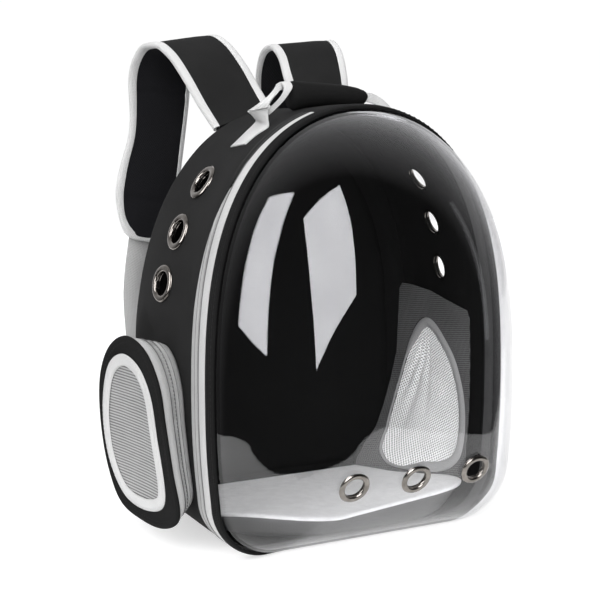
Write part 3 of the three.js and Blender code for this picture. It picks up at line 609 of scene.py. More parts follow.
class Nodes:
    """A node tree with short calls for the nodes that the materials and the world use."""

    def __init__(self, owner, output="ShaderNodeOutputMaterial"):
        self.owner = owner
        owner.use_nodes = True
        self.tree = owner.node_tree
        self.tree.nodes.clear()
        self.output = self.add(output)

    def add(self, kind, **values):
        node = self.tree.nodes.new(kind)
        for key, value in values.items():
            setattr(node, key, value)
        return node

    def put(self, socket, value):
        """Links a socket to another one, or sets its value."""
        if isinstance(value, bpy.types.NodeSocket):
            self.tree.links.new(value, socket)
        else:
            socket.default_value = value

    def feed(self, node, **inputs):
        for key, value in inputs.items():
            self.put(node.inputs[key.replace("_", " ")], value)
        return node

    def numbered(self, node, inputs):
        """Fills the inputs of a node by their numbers."""
        for number, value in inputs.items():
            self.put(node.inputs[number], value)
        return node

    def coords(self, kind="UV", turn=0.0):
        source = self.add("ShaderNodeTexCoord").outputs[kind]
        if not turn:
            return source
        mapping = self.add("ShaderNodeMapping")
        return self.feed(mapping, Vector=source, Rotation=(0, 0, math.radians(turn))).outputs["Vector"]

    def noise(self, size, detail=3.0, rough=0.5):
        node = self.add("ShaderNodeTexNoise")
        self.feed(node, Vector=self.coords("Object"), Scale=1000 / size, Detail=detail, Roughness=rough)
        return node.outputs["Fac"]

    def wave(self, vector, pitch, direction):
        node = self.add("ShaderNodeTexWave", wave_type="BANDS", bands_direction=direction)
        return self.feed(node, Vector=vector, Scale=1000 * math.pi / (10 * pitch)).outputs["Fac"]

    def cells(self, vector, pitch, spread, dimensions):
        node = self.add("ShaderNodeTexVoronoi", voronoi_dimensions=dimensions)
        return self.feed(node, Vector=vector, Scale=1000 / pitch, Randomness=spread).outputs["Distance"]

    def math(self, operation, a, b=0.0, c=0.0):
        node = self.add("ShaderNodeMath", operation=operation)
        return self.numbered(node, {0: a, 1: b, 2: c}).outputs[0]

    def weigh(self, a, a_share, b, b_share):
        return self.math("ADD", self.math("MULTIPLY", a, a_share), self.math("MULTIPLY", b, b_share))

    def ramp(self, fac, *stops):
        node = self.add("ShaderNodeValToRGB")
        elements = node.color_ramp.elements
        elements.remove(elements[1])
        for i, (place, colour) in enumerate(stops):
            element = elements.new(place) if i else elements[0]
            element.position = place
            element.color = (*colour, 1)
        return self.feed(node, Fac=fac).outputs["Color"]

    def bump(self, height, distance, strength=1.0, normal=None):
        node = self.add("ShaderNodeBump")
        self.feed(node, Height=height, Distance=distance / 1000, Strength=strength)
        if normal:
            self.put(node.inputs["Normal"], normal)
        return node.outputs["Normal"]

    def weave(self, vector, pitch):
        """Height of a plain weave."""
        checker = self.feed(self.add("ShaderNodeTexChecker"), Vector=vector, Scale=1000 / pitch)
        across, along = self.wave(vector, pitch, "X"), self.wave(vector, pitch, "Y")
        node = self.add("ShaderNodeMix", data_type="FLOAT")
        return self.numbered(node, {0: checker.outputs["Fac"], 2: across, 3: along}).outputs[0]

    def mixed(self, share, first, second):
        node = self.add("ShaderNodeMixShader")
        return self.numbered(node, {0: share, 1: first.outputs[0], 2: second.outputs[0]})

    def finish(self, shader):
        self.put(self.output.inputs["Surface"], shader.outputs[0])
        return self.owner

    def principled(self, **inputs):
        return self.finish(self.feed(self.add("ShaderNodeBsdfPrincipled"), **inputs))


def material(name):
    return Nodes(bpy.data.materials.new(name))


def grey(value):
    """Linear grey for a value as it looks on screen, from 0 to 255."""
    v = value / 255
    linear = v / 12.92 if v <= 0.04045 else ((v + 0.055) / 1.055) ** 2.4
    return (linear, linear, linear)


def woven(name, dark, light, pitch, roughness=0.85, lift=0.25, source="UV", patch=60, crease=0.0):
    n = material(name)
    place = n.coords(source)
    height = n.weave(place, pitch) if source == "UV" else n.cells(place, pitch, 0.6, "3D")
    cloudy = n.noise(patch, 4.0, 0.6)
    colour = n.ramp(n.weigh(height, 0.45, cloudy, 0.55), (0.25, dark), (0.75, light))
    normal = n.bump(height, lift)
    if crease:
        normal = n.bump(n.noise(26, 3.0, 0.55), crease, 1.0, normal)
    rough = n.math("MULTIPLY_ADD", cloudy, 0.12, roughness - 0.06)
    return n.principled(Base_Color=colour, Roughness=rough, Normal=normal, Specular_IOR_Level=0.08)


def tape(name, dark, light, pitch=1.3, lift=0.3, patch=90):
    return woven(name, grey(dark), grey(light), pitch, lift=lift, patch=patch)


def netted(name, thread, hole, pitch, turn=45.0, glow=0.0):
    n = material(name)
    cell = n.cells(n.coords("UV", turn), pitch, 0.12, "2D")
    colour = n.ramp(cell, (0.22, hole), (0.42, thread))
    shade = n.ramp(n.noise(45), (0.3, (0.78, 0.78, 0.78)), (0.7, (1.0, 1.0, 1.0)))
    mix = n.add("ShaderNodeMix", data_type="RGBA", blend_type="MULTIPLY")
    colour = n.numbered(mix, {0: 1.0, 6: colour, 7: shade}).outputs[2]
    # A glow above zero is painted light: the net gives off its own colour
    return n.principled(
        Base_Color=colour, Roughness=0.85, Normal=n.bump(cell, 0.5), Sheen_Weight=0.03,
        Specular_IOR_Level=0.15, Emission_Color=colour, Emission_Strength=glow,
    )


def ribbed(name, thread, gap, row):
    """Net with strong rows across and fine threads between them."""
    n = material(name)
    place = n.coords("UV")
    height = n.weigh(n.wave(place, row, "Y"), 0.7, n.wave(place, row * 0.42, "X"), 0.3)
    colour = n.ramp(n.weigh(height, 0.8, n.noise(40), 0.2), (0.2, gap), (0.7, thread))
    return n.principled(Base_Color=colour, Roughness=0.8, Normal=n.bump(height, 0.5), Specular_IOR_Level=0.3)


def plush(name, dark, light):
    n = material(name)
    pile, tufts = n.noise(1.6, 4.0, 0.7), n.noise(9, 3.0, 0.6)
    colour = n.ramp(n.weigh(pile, 0.5, tufts, 0.5), (0.3, dark), (0.65, light))
    normal = n.bump(tufts, 1.2, 0.6, n.bump(pile, 0.8))
    return n.principled(
        Base_Color=colour, Roughness=0.95, Normal=normal, Sheen_Weight=0.4, Specular_IOR_Level=0.2,
    )


def moulded(name, dark, light, roughness):
    n = material(name)
    cloudy = n.noise(30, 4.0, 0.6)
    colour = n.ramp(cloudy, (0.3, grey(dark)), (0.7, grey(light)))
    rough = n.math("MULTIPLY_ADD", cloudy, 0.15, roughness - 0.07)
    normal = n.bump(n.noise(0.9, 2.0), 0.05)
    return n.principled(Base_Color=colour, Roughness=rough, Normal=normal, Specular_IOR_Level=0.45)


def plated(name):
    n = material(name)
    fine = n.noise(0.7)
    colour = n.ramp(n.noise(8, 4.0), (0.3, (0.15, 0.138, 0.125)), (0.7, (0.28, 0.26, 0.238)))
    rough = n.math("MULTIPLY_ADD", fine, 0.14, 0.14)
    return n.principled(Base_Color=colour, Metallic=1.0, Roughness=rough, Normal=n.bump(fine, 0.01))


def clear(name):
    """Thin clear sheet: see-through, with gloss that grows towards its edges and fades at its foot."""
    n = material(name)
    waver = n.bump(n.noise(70, 1.0), 0.25)
    gloss = n.feed(n.add("ShaderNodeBsdfGlossy"), Color=(1, 1, 1, 1), Roughness=0.02, Normal=waver)
    haze = n.ramp(n.noise(90), (0.3, (0.965, 0.965, 0.97)), (0.7, (0.985, 0.985, 0.99)))
    through = n.feed(n.add("ShaderNodeBsdfTransparent"), Color=haze)
    facing = n.feed(n.add("ShaderNodeLayerWeight"), Blend=0.5, Normal=waver).outputs["Facing"]
    mirror = n.math("MULTIPLY_ADD", n.math("POWER", facing, 5.0), 0.96, 0.04)
    height = n.feed(n.add("ShaderNodeSeparateXYZ"), Vector=n.coords("Object")).outputs["Z"]
    # Weaker gloss near the foot: painted shade, for the shadowed table that the dome mirrors there
    mirror = n.math("MULTIPLY", mirror, n.ramp(height, (0.03, (0.58, 0.58, 0.6)), (0.11, (1, 1, 1))))
    return n.finish(n.mixed(mirror, through, gloss))


M_BLACK = woven("black_fabric", grey(24), grey(42), 0.9, crease=0.5)
# Darker copy of the black fabric for faces inside the cabin and under the tapes: painted shade
M_SHADED_BLACK = woven("black_inside_painted_shade", grey(8), grey(17), 0.9)
M_BLACK_PAD = woven("black_padded", grey(16), grey(30), 0.8, source="Object", crease=0.4)
M_BINDING = woven("black_binding", grey(16), grey(29), 1.2, lift=0.35)
M_MESH = netted("strap_mesh", (0.0034, 0.0035, 0.0055), (0.0008, 0.0008, 0.0014), 2.2)
M_LINING = netted("lining_mesh", grey(112), grey(48), 2.2, turn=8)
M_TAPE = tape("grey_tape", 184, 212)
# Darker copy of the grey tape for the body's zip tape: painted shade
M_BODY_TAPE_SHADED = tape("body_tape", 158, 186)
# Darker copy of the grey tape for the tapes' inner faces: painted shade
M_TAPE_INSIDE_SHADED = tape("tape_inside", 58, 92, patch=30)
M_TRIM = tape("trim_tape", 168, 192, patch=40)
M_WEBBING = tape("grey_webbing", 198, 224, 1.7, 0.4, 70)
# Darker copy of the grey webbing for the lower webbing, which lies in the bag's shadow: painted shade
M_LOWER_WEB_SHADED = tape("lower_webbing_painted_shade", 160, 182, 1.7, 0.4, 70)
M_FRAME = woven("white_frame", grey(190), grey(210), 0.7, roughness=0.7, lift=0.12)
M_NET = ribbed("pocket_net", grey(168), grey(86), 3.0)
# The screen glows a little: painted light, as if lit from behind
M_SCREEN_GLOWING = netted("white_screen_painted_glow", grey(255), grey(125), 2.6, turn=32, glow=0.25)
M_MAT = plush("mat_top", grey(225), grey(250))
# Grey cloth for the mat's sides, darker than its top: painted shade
M_MAT_SIDE_SHADED = woven("mat_side_painted_shade", grey(100), grey(122), 1.4)
M_COIL = moulded("zip_teeth", 150, 186, 0.5)
M_CORD = moulded("zip_cord", 84, 112, 0.6)
M_PLASTIC = moulded("black_plastic", 16, 30, 0.4)
M_NICKEL = plated("nickel")
M_CLEAR = clear("clear_plastic")
M_STITCH = woven("pale_thread", grey(190), grey(225), 0.5)
M_DARK_STITCH = woven("dark_thread", grey(30), grey(50), 0.5)


# Body

def wall_inset(y):
    if y <= WALL_TURN_Y:
        return 0.0
    t = min((y - WALL_TURN_Y) / (WALL_BACK_Y - WALL_TURN_Y), 1.0)
    return WALL_BACK_INSET * (1 - math.sqrt(1 - t * t))


def swell(y, z):
    """How far the soft wall stands out above and behind the pocket, in millimetres."""
    rise = ease(36, 140, y) * (1 - 0.35 * ease(130, 175, y)) * (1 - ease(168, 176, y))
    return WALL_SWELL * rise * ease(188, 228, z + 1.2 * max(y - 130, 0)) * (1 - ease(180, 400, z))


def wall_frame(y, z, sign):
    """Point and outward normal of a side wall at a height."""
    loop = RIM[RIM_STEPS // 2:]
    i = min(range(1, len(loop) - 1), key=lambda k: abs(loop[k].y - z))
    along = (loop[i + 1] - loop[i - 1]).normalized()
    out = Vector((along.y, 0, -along.x))
    slope = Vector((0, swell(y + 2, z) - swell(y - 2, z), swell(y, z + 2) - swell(y, z - 2))) / 4
    point = Vector((-half_width(z), y, z)) + out * swell(y, z)
    return flipped([point, (out - slope).normalized()], sign)


def hole_cutter(place, axis, radius):
    a = axis.orthogonal().normalized()
    ends = (-EYELET_HOLE_LENGTH / 2, EYELET_HOLE_LENGTH / 2)
    rings = [circle(place + axis * end, a, axis.cross(a), radius, 48) for end in ends]
    return make("hole", tubed(rings), [])


def flank(p):
    """Soft dents and folds of the body wall, in millimetres outwards."""
    calm = ease(36, 62, p.y) * (1 - ease(150, 170, p.y))
    for y, z in EYELETS.values():
        calm *= ease(20, 38, math.hypot(p.y - y, p.z - z))
    fold = ripple((p.x * 0.6, p.y * 0.35 + p.z * 0.5, p.z * 0.8), 34, 2.0)
    return calm * (0.9 * ripple(p, 58) + 1.4 * fold * ease(40, 120, p.z))


def wall_ring(y, thick):
    """Ring of the body wall; towards the arch its front runs on as a thin flap over the zip."""
    ring = rim_ring(y, wall_inset(y) + thick)
    n = len(ring)
    start = BODY_FRONT + GAP
    result = []
    for i, p in enumerate(ring):
        along = (ring[(i + 1) % n] - ring[i - 1]).normalized()
        out = Vector((along.z, 0, -along.x))
        front = lookup(FLAP_ROWS, p.z)
        if y < FLAP_ROOT:
            p.y = FLAP_ROOT - (FLAP_ROOT - y) * (FLAP_ROOT - front) / (FLAP_ROOT - start)
        over = (1 - ease(start - 2, start + 14, p.y)) * ease(0, 4, start - front)
        lift = over * (0.9 + max(thick - FLAP_THICK, 0))
        result.append(p + out * (flank(p) * ease(2, 20, p.z) + swell(p.y, p.z) + lift))
    return result


def body():
    start = BODY_FRONT + GAP
    ys = [start + (WALL_TURN_Y - BODY_FRONT - GAP) * i / 22 for i in range(23)]
    ys += [WALL_TURN_Y + (WALL_BACK_Y - WALL_TURN_Y) * math.sin(math.pi / 2 * i / 8) for i in range(1, 9)]
    outer = [wall_ring(y, 0) for y in ys]
    inner = [wall_ring(y, WALL_THICK * (1 - 0.6 * ease(165, 175, y))) for y in ys]
    # The inner faces take the darker black: painted shade inside the cabin
    shape = looped(outer + inner[::-1], lambda r, i: 0 if r < len(ys) else 1)
    wall = make("body_shell", shape, [M_BLACK, M_SHADED_BLACK])
    cutters = []
    window = inset(WALL_LOOP, WALL_WINDOW_INSET)
    for sign in SIDES.values():
        for y, z in EYELETS.values():
            cutters.append(hole_cutter(*wall_frame(y, z, sign), EYELET_HOLE * SIDE_EYELET_SCALE))
        ends = [[Vector((-RIM_HALF_WIDTH - x, p.x, p.y)) for p in window] for x in WALL_WINDOW_CUT]
        cutters.append(make("window", tubed(ends).mirrored(sign), []))
    dress(cut(wall, cutters), "black_fabric", "body_wall")


def back_panel():
    edge = WALL_BACK_INSET - 1.5
    rings = [rim_ring(170.5, edge + 6), rim_ring(171.5, edge + 1.5), rim_ring(174, edge + 1)]
    for t in (0.2, 0.4, 0.6, 0.8, 0.9, 1.0):
        rings.append(rim_ring(176 + 5 * math.sin(t * math.pi / 2), edge + 2.5, 1 - 0.4 * t))
    panel = make("back_pad", tubed(rings), [M_BLACK_PAD, M_SHADED_BLACK], 80)
    puffed(panel, 0.005, 2.0, 0.002)
    # Faces turned towards the cabin take the darker black: painted shade
    for face in panel.data.polygons:
        face.material_index = 1 if face.normal.y < -0.5 else 0
    dress(panel, "black_fabric", "back_panel")
    add_piece("back_seam", looped(rim_loop(SEAM_SECTION)), [M_SHADED_BLACK], "black_fabric", sharp=40)


def mat():
    """Floor mat: soft plush top, grey cloth sides whose darker grey is painted shade, rounded plan; its
    sides rise with the corners of the shell.
    """
    def curl(x, y):
        return MAT_CURL * ease(10, 125, abs(x)) * (1 - 0.9 * ease(20, 130, y))

    def ring(z, front, back, pull):
        half = half_width(z, WALL_THICK + GAP) + MAT_CURL_WIDTH * ease(10, 20, z) - pull
        points = []
        for quarter, (side, end, wide, deep) in enumerate(MAT_CORNERS):
            middle = front + pull + deep if end < 0 else back - pull - deep
            for i in range(25):
                angle = math.radians(90 * (quarter - 1) + 90 * i / 24)
                x = side * (half - wide) + wide * math.cos(angle)
                y = middle + deep * math.sin(angle)
                points.append(Vector((x, y, z + curl(x, y) * ease(2, 12, z))))
        return even(points, MAT_POINTS, True)

    def flat(p, lift):
        rise = MAT_LEVELS[-1][0] + curl(p.x, p.y) + lift
        return Vector((p.x, p.y, rise + 0.55 * ripple((p.x, p.y, 0), 40)))

    rings = [ring(*row) for row in MAT_LEVELS]
    top = rings[-1]
    middle = sum(top, Vector((0, 0, 0))) / len(top)
    for share in (0.94, 0.86, 0.76, 0.64, 0.5, 0.36, 0.22, 0.1):
        rings.append([flat(middle.lerp(p, share), 0.5 * (1 - share)) for p in top])
    # The lower rings, the sides, take the darker cloth: painted shade
    shape = tubed(rings, lambda r, i: 1 if r < 4 else 0)
    shape.mats[-MAT_POINTS:] = [0] * MAT_POINTS
    pad = add_piece("mat_pad", shape, [M_MAT, M_MAT_SIDE_SHADED], "mat_cloth", "floor_mat")


# Dome and rim

def dome_profile(count):
    """Even steps from the rim to the middle, as (scale, depth)."""
    dense = []
    for i in range(1501):
        depth = math.sin(math.pi / 2 * i / 1500)
        rho = max(1 - depth ** DOME_ROOT, 0.0) ** (1 / DOME_POWER)
        dense.append(Vector((rho * DOME_MEAN_RADIUS, depth * DOME_DEPTH)))
    return [(p.x / DOME_MEAN_RADIUS, p.y / DOME_DEPTH) for p in even(dense, count)]


def dome_place(x, z):
    """Point and outward normal of the dome's outer face ahead of (x, z)."""
    loop = inset(RIM, BAND_THICK + GAP)
    centre = Vector((0, DOME_CENTRE_Z))

    def depth_at(px, pz):
        aim = Vector((px, pz)) - centre
        best = min(loop, key=lambda p: (p - centre).angle(aim, 0))
        rho = aim.length / (best - centre).length
        return -DOME_DEPTH * max(1 - rho ** DOME_POWER, 0) ** (1 / DOME_ROOT)

    step = 4
    slope_x = (depth_at(x + step, z) - depth_at(x - step, z)) / (2 * step)
    slope_z = (depth_at(x, z + step) - depth_at(x, z - step)) / (2 * step)
    return Vector((x, depth_at(x, z), z)), Vector((slope_x, -1, slope_z)).normalized()


def dome():
    profile = dome_profile(56)[:-1]
    edge, deep = BAND_THICK + GAP, DOME_DEPTH - DOME_THICK
    outer = [rim_ring(-DOME_DEPTH * d, edge, s) for s, d in profile]
    inner = [rim_ring(-deep * d, edge + DOME_THICK, s) for s, d in profile]
    shape = tubed(outer[::-1] + inner)
    shape.verts[-2:] = [Vector((0, -DOME_DEPTH, DOME_CENTRE_Z)), Vector((0, -deep, DOME_CENTRE_Z))]
    shell = make("clear_dome", shape, [M_CLEAR], 50)
    cutters = [hole_cutter(*dome_place(x, z), EYELET_HOLE) for x, z in DOME_EYELETS.values()]
    dress(cut(shell, cutters, 50), "clear_plastic", "dome")


def soft_section(front, back, crown, steps=7):
    """Flat band section with rounded edges and a slight crown, as (y, inset)."""
    outer = []
    for i in range(1, steps - 1):
        t = -1 + 2 * i / (steps - 1)
        outer.append((front + (back - front) * (t + 1) / 2, -crown * (1 - t * t)))
    start = [(front, BAND_THICK / 2), (front + 0.15, 0.2)]
    end = [(back - 0.15, 0.2), (back, BAND_THICK / 2), (back, BAND_THICK), (front, BAND_THICK)]
    return start + outer + end


def at_hinge(i):
    return RIM[i].y > SHOULDER_Z and abs(RIM[i].x) <= HINGE_HALF_WIDTH


def dashes(name, path, normals, material, length, pitch):
    """Stitches laid along a path."""
    shape = Shape()
    reach = distances(path)
    for k in range(int(reach[-1] // pitch)):
        rings = []
        for share, size in ((0, 0.35), (0.18, 1), (0.82, 1), (1, 0.35)):
            i, part = locate(reach, (k + 0.5) * pitch + (share - 0.5) * length)
            out = normals[i]
            side = (path[i + 1] - path[i]).normalized().cross(out).normalized()
            middle = path[i].lerp(path[i + 1], part) + out * (STITCH_RADIUS * 0.5 if 0 < share < 1 else 0)
            rings.append(circle(middle, side, out, STITCH_RADIUS * size, 6))
        shape.tube(rings)
    return make(name, shape, [material], 80)


def teeth(name, line, width, *nodes):
    """Zip coil: pairs of small teeth that mesh along a path, on a narrow core."""
    path, normals = line
    shape = Shape()
    count = int(distances(path)[-1] / TOOTH_PITCH)
    spots = even(path, count)
    for k in range(count - 1):
        middle = spots[k]
        near = int(k * len(path) / count)
        i = min(range(max(0, near - 3), min(len(path), near + 4)), key=lambda j: (path[j] - middle).length)
        out = normals[i]
        along = (spots[k + 1] - middle).normalized()
        side = along.cross(out).normalized()
        lean = 0.28 * width if k % 2 else -0.28 * width
        rings = []
        for share, size in ((-0.5, 0.55), (-0.25, 1), (0.25, 1), (0.5, 0.55)):
            centre = middle + side * (lean + share * width * 0.62)
            rings.append(circle(centre, along * 0.42 * TOOTH_PITCH, out * 0.75, size, 6))
        shape.tube(rings)
    core = []
    for p, out, q in zip(path, normals, path[1:]):
        side = (q - p).normalized().cross(out).normalized() * width / 2
        core.append([p + side * a + out * b for a, b in ((-1, -0.2), (1, -0.2), (1, -1.1), (-1, -1.1))])
    shape.tube(core, mat=lambda r, i: int(i > 0))
    add_piece(name, shape, [M_COIL, M_SHADED_BLACK], "zip_coil", *nodes, sharp=50)


def rim_bands():
    around = [i % RIM_STEPS for i in range(RIM_STEPS // 2, RIM_STEPS * 3 // 2)]
    zip_run = [i for i in around if not at_hinge(i)]
    hinge_run = [i for i in range(RIM_STEPS) if at_hinge(i)]
    hinge_run = [hinge_run[0] - 1] + hinge_run + [hinge_run[-1] + 1]

    rings = rim_loop(BINDING_SECTION)
    for p in itertools.chain(*rings):
        p.y *= 1 - 0.65 * (1 - ease(4, 40, p.z)) * ease(-130, -80, p.x)
    add_piece("dome_edge", looped(rings), [M_BINDING], "black_fabric", "dome_binding")

    coil_back = TAPE_WIDTH + COIL_WIDTH + GAP * 2
    for name, front, back, cloths, node in (
        ("front_tape", GAP, TAPE_WIDTH, [M_TAPE, M_TAPE_INSIDE_SHADED], "zip_tape_dome"),
        ("body_tape", coil_back, BODY_FRONT, [M_BODY_TAPE_SHADED, M_SHADED_BLACK], "zip_tape_body"),
    ):
        section = soft_section(front, back, BAND_CROWN)
        # The inner faces of each tape take the second, darker material: painted shade
        strip = tubed(rim_run(section, zip_run), lambda r, i: int(i >= len(section) - 3))
        add_piece(name, strip, cloths, "grey_webbing", node)

    hinge = tubed(rim_run(soft_section(GAP, BODY_FRONT, 0.5, steps=11), hinge_run))
    add_piece("top_hinge", hinge, [M_BLACK], "black_fabric", "zip_hinge")
    teeth("main_teeth", rim_path(TAPE_WIDTH + GAP + COIL_WIDTH / 2, 1.1, zip_run), COIL_WIDTH, "zip_coil")

    for number, y in enumerate((TAPE_WIDTH + 0.4, ZIP_FOLD_Y)):
        section = [(y - 0.7, -0.1), (y, -0.55), (y + 0.7, -0.1), (y, 0.3)]
        add_piece(f"zip_cord_{number}", tubed(rim_run(section, zip_run)), [M_CORD], "zip_coil", sharp=80)

    path, normals = rim_path(-10.6, 1.2, [i for i in range(RIM_STEPS) if RIM[i].y > CORNER_RADIUS])
    dress(dashes("edge_stitches", path, normals, M_DARK_STITCH, 2.4, 6.0), "black_fabric")


# Eyelets

def eyelet(name, place, out, wall, scale, node):
    a = out.orthogonal().normalized()
    b = out.cross(a)
    shape = Shape()
    for profile, base in ((FLANGE_PROFILE, 0), (WASHER_PROFILE, -wall - GAP)):
        shape.skin([
            circle(place + out * (base + height), a, b, radius * scale, 56) for radius, height in profile
        ], loop=True)
    add_piece(name, shape, [M_NICKEL], "nickel", node, sharp=50)


def eyelets():
    for side, sign in SIDES.items():
        for label, (y, z) in EYELETS.items():
            place, out = wall_frame(y, z, sign)
            node = f"side_eyelet_{label}_{side}"
            eyelet(f"vent_{label}_{side}", place, out, WALL_THICK, SIDE_EYELET_SCALE, node)
    for label, (x, z) in DOME_EYELETS.items():
        eyelet(f"vent_front_{label}", *dome_place(x, z), DOME_THICK, 1, f"dome_eyelet_{label}")


# Side pockets

def door_reach(y, z):
    return DOOR_REACH + DOOR_LEAN[0] * (y - DOOR_BASE[0]) + DOOR_LEAN[1] * (z - DOOR_BASE[1])


def door_point(p, offset):
    return Vector((-(door_reach(p.x, p.y) + offset), p.x, p.y))


def plate(loop, section):
    """Rings on the door for a section of (inset, offset from the door's plane)."""
    return [[door_point(p, offset) for p in inset(loop, d)] for d, offset in section]


def pocket_ring(share, distance, bulge=0.0):
    """Ring of the gusset: share 0 is on the body wall and 1 is at the door."""
    result = []
    for a, b in zip(inset(WALL_LOOP, distance - bulge), inset(DOOR_LOOP, distance - bulge)):
        near = half_width(a.y) + 0.6
        far = door_reach(b.x, b.y)
        spot = a.lerp(b, share)
        result.append(Vector((-(near + (far - near) * share), spot.x, spot.y)))
    return result


def pocket(side):
    sign = SIDES[side]
    for part, node, low, high in (("wall", "inner", 0.0, 0.4), ("door", "outer", 0.59, 0.98)):
        rings = []
        for i in range(7):
            rings.append(pocket_ring(low + (high - low) * i / 6, 0, 0.9 * math.sin(math.pi * i / 6)))
        rings += [pocket_ring(share, 2) for share in (high, low)]
        add_side(side, f"gusset_{part}", looped(rings), [M_TAPE], "grey_webbing", f"pocket_tape_{node}")
    for number, (share, wide) in enumerate(((0.41, 0.03), (0.6, 0.025), (0.24, 0.03))):
        rows = ((share - wide, 0.1), (share, 0, 1.5), (share + wide, 0.1), (share, 1))
        cord = looped([pocket_ring(*row) for row in rows])
        add_side(side, f"pocket_cord_{number}", cord, [M_CORD], "zip_coil", sharp=80)
    ring = pocket_ring(ZIP_SHARE, 0.6)
    outs = [(p - q).normalized() for p, q in zip(ring, pocket_ring(ZIP_SHARE, 6))]
    line = [flipped(points + points[:1], sign) for points in (ring, outs)]
    teeth(f"pocket_teeth_{side}", line, 4.2, f"pocket_zip_{side}")

    door = looped(plate(DOOR_LOOP, DOOR_SECTION) + plate(FRAME_LOOP, DOOR_HOLE_SECTION))
    add_side(side, "door", door, [M_BINDING], "black_fabric", "pocket_door", sharp=50)
    border = looped(plate(FRAME_LOOP, FRAME_SECTION))
    add_side(side, "window_frame", border, [M_FRAME], "white_trim", "pocket_frame")
    hem = inset(FRAME_LOOP, NET_LAP)
    add_net(side, "window_net", hem, (40, 40), (2.6, 1.6), net_point, M_NET, "pocket_mesh")
    for label, loop, offset, length, thread in (
        ("frame", inset(FRAME_LOOP, 2.2), 4.75, 3.0, M_STITCH),
        ("door", inset(DOOR_LOOP, 4.6), 2.9, 2.6, M_DARK_STITCH),
    ):
        path = flipped([door_point(p, offset) for p in loop + loop[:1]], sign)
        outs = flipped([DOOR_OUT] * len(path), sign)
        dress(dashes(f"{label}_stitches_{side}", path, outs, thread, length, 5.0), "grey_webbing")
    pull(side)
    lining(side)


def add_net(side, name, hem, counts, offsets, place, material, node):
    """Thin net that is sewn in all round its hem."""
    rows = net_rows(hem, *counts)
    front, back = ([[place(p, offset) for p in row] for row in rows] for offset in offsets)
    shape = tubed([a + b[::-1] for a, b in zip(front, back)])
    shape.lay_flat()
    piece = add_side(side, name, shape, [material], "netting", node)
    width, length = (max(axis) - min(axis) for axis in zip(*hem))


def net_point(p, offset):
    """Point of the window's net, which hangs in a little behind its frame."""
    inside = min((p - q).length for q in FRAME_LOOP[::3])
    return door_point(p, offset - (1.6 * ease(8, 40, inside) + 0.5 * ripple((p.x, p.y, 0), 30, 4)))


def net_rows(loop, across, up):
    """Rows of points that fill an outline, each running from its front edge to its back edge."""
    low, high = min(p.y for p in loop) + 0.05, max(p.y for p in loop) - 0.05
    rows = []
    for i in range(up + 1):
        z = low + (high - low) * (0.5 - 0.5 * math.cos(math.pi * i / up))
        hits = []
        for a, b in zip(loop, loop[1:] + loop[:1]):
            if (a.y - z) * (b.y - z) <= 0 and a.y != b.y:
                hits.append(a.x + (b.x - a.x) * (z - a.y) / (b.y - a.y))
        first, last = min(hits), max(hits)
        rows.append([Vector((first + (last - first) * j / across, z)) for j in range(across + 1)])
    return rows


def pull(side):
    """Zip slider and its tab, at the back of the gusset."""
    back = max(pocket_ring(ZIP_SHARE, 0), key=lambda p: p.y)
    shape = Shape()
    outline = rounded_square(28, 0.6)
    for wide, tall, lift, height, drop in ((3.4, 6.0, 1.2, 2.2, 0), (2.9, 8.5, 3.1, 1.5, 3)):
        rings = []
        for share, grow in ((0, 0.86), (0.2, 1), (0.8, 1), (1, 0.86)):
            middle = back + Vector((0, lift + height * share, -drop))
            rings.append([middle + Vector((wide * grow * x, 0, tall * grow * z)) for x, z in outline])
        shape.tube(rings)
    add_side(side, "zip_pull", shape, [M_PLASTIC], "black_plastic", "pocket_pull", sharp=50)


def trim_loop(distance):
    """Outline inside the edge of the screen's trim, which narrows towards the back."""
    result = []
    for p, q in zip(TRIM_LOOP, inset(TRIM_LOOP, distance)):
        result.append(p.lerp(q, 1.25 - 1.05 * ease(88, 118, p.x) * (1 - ease(140, 178, p.y))))
    return result


def lining_point(p, offset):
    back = lookup(LINING_BACK_ROWS, p.y)
    front = half_width(p.y, WALL_THICK + GAP)
    share = max((p.x - LINING_FRONT_Y) / (LINING_BACK_Y - LINING_FRONT_Y), 0)
    return Vector((-(front + (back - front) * share ** 1.4 - 0.4 - offset), p.x, p.y))


def screen_fold(p):
    """Folds of the white screen, running down from its top corner."""
    aim = p - SCREEN_TOP
    angle = math.atan2(aim.x, -aim.y)
    depth = ease(4, 40, aim.length) * (1 - 0.75 * ease(70, 150, aim.length))
    return depth * sum(-deep * math.exp(-((angle - at) / wide) ** 2) for at, wide, deep in SCREEN_CREASES)


def lining_edge(hole):
    """Outer edge of the lining, where rays from the middle of its hole meet its four sides."""
    centre = sum(hole, Vector((0, 0))) / len(hole)
    result = []
    for p in hole:
        aim = (p - centre).normalized()
        top = lookup(LINING_TOP_ROWS, min(max(centre.x + aim.x * 80, LINING_FRONT_Y), LINING_BACK_Y))
        reach = LINING_FAR
        if abs(aim.x) > 1e-6:
            reach = min(reach, ((LINING_BACK_Y if aim.x > 0 else LINING_FRONT_Y) - centre.x) / aim.x)
        if abs(aim.y) > 1e-6:
            reach = min(reach, ((top if aim.y > 0 else LINING_FOOT_Z) - centre.y) / aim.y)
        result.append(centre + aim * reach)
    return result


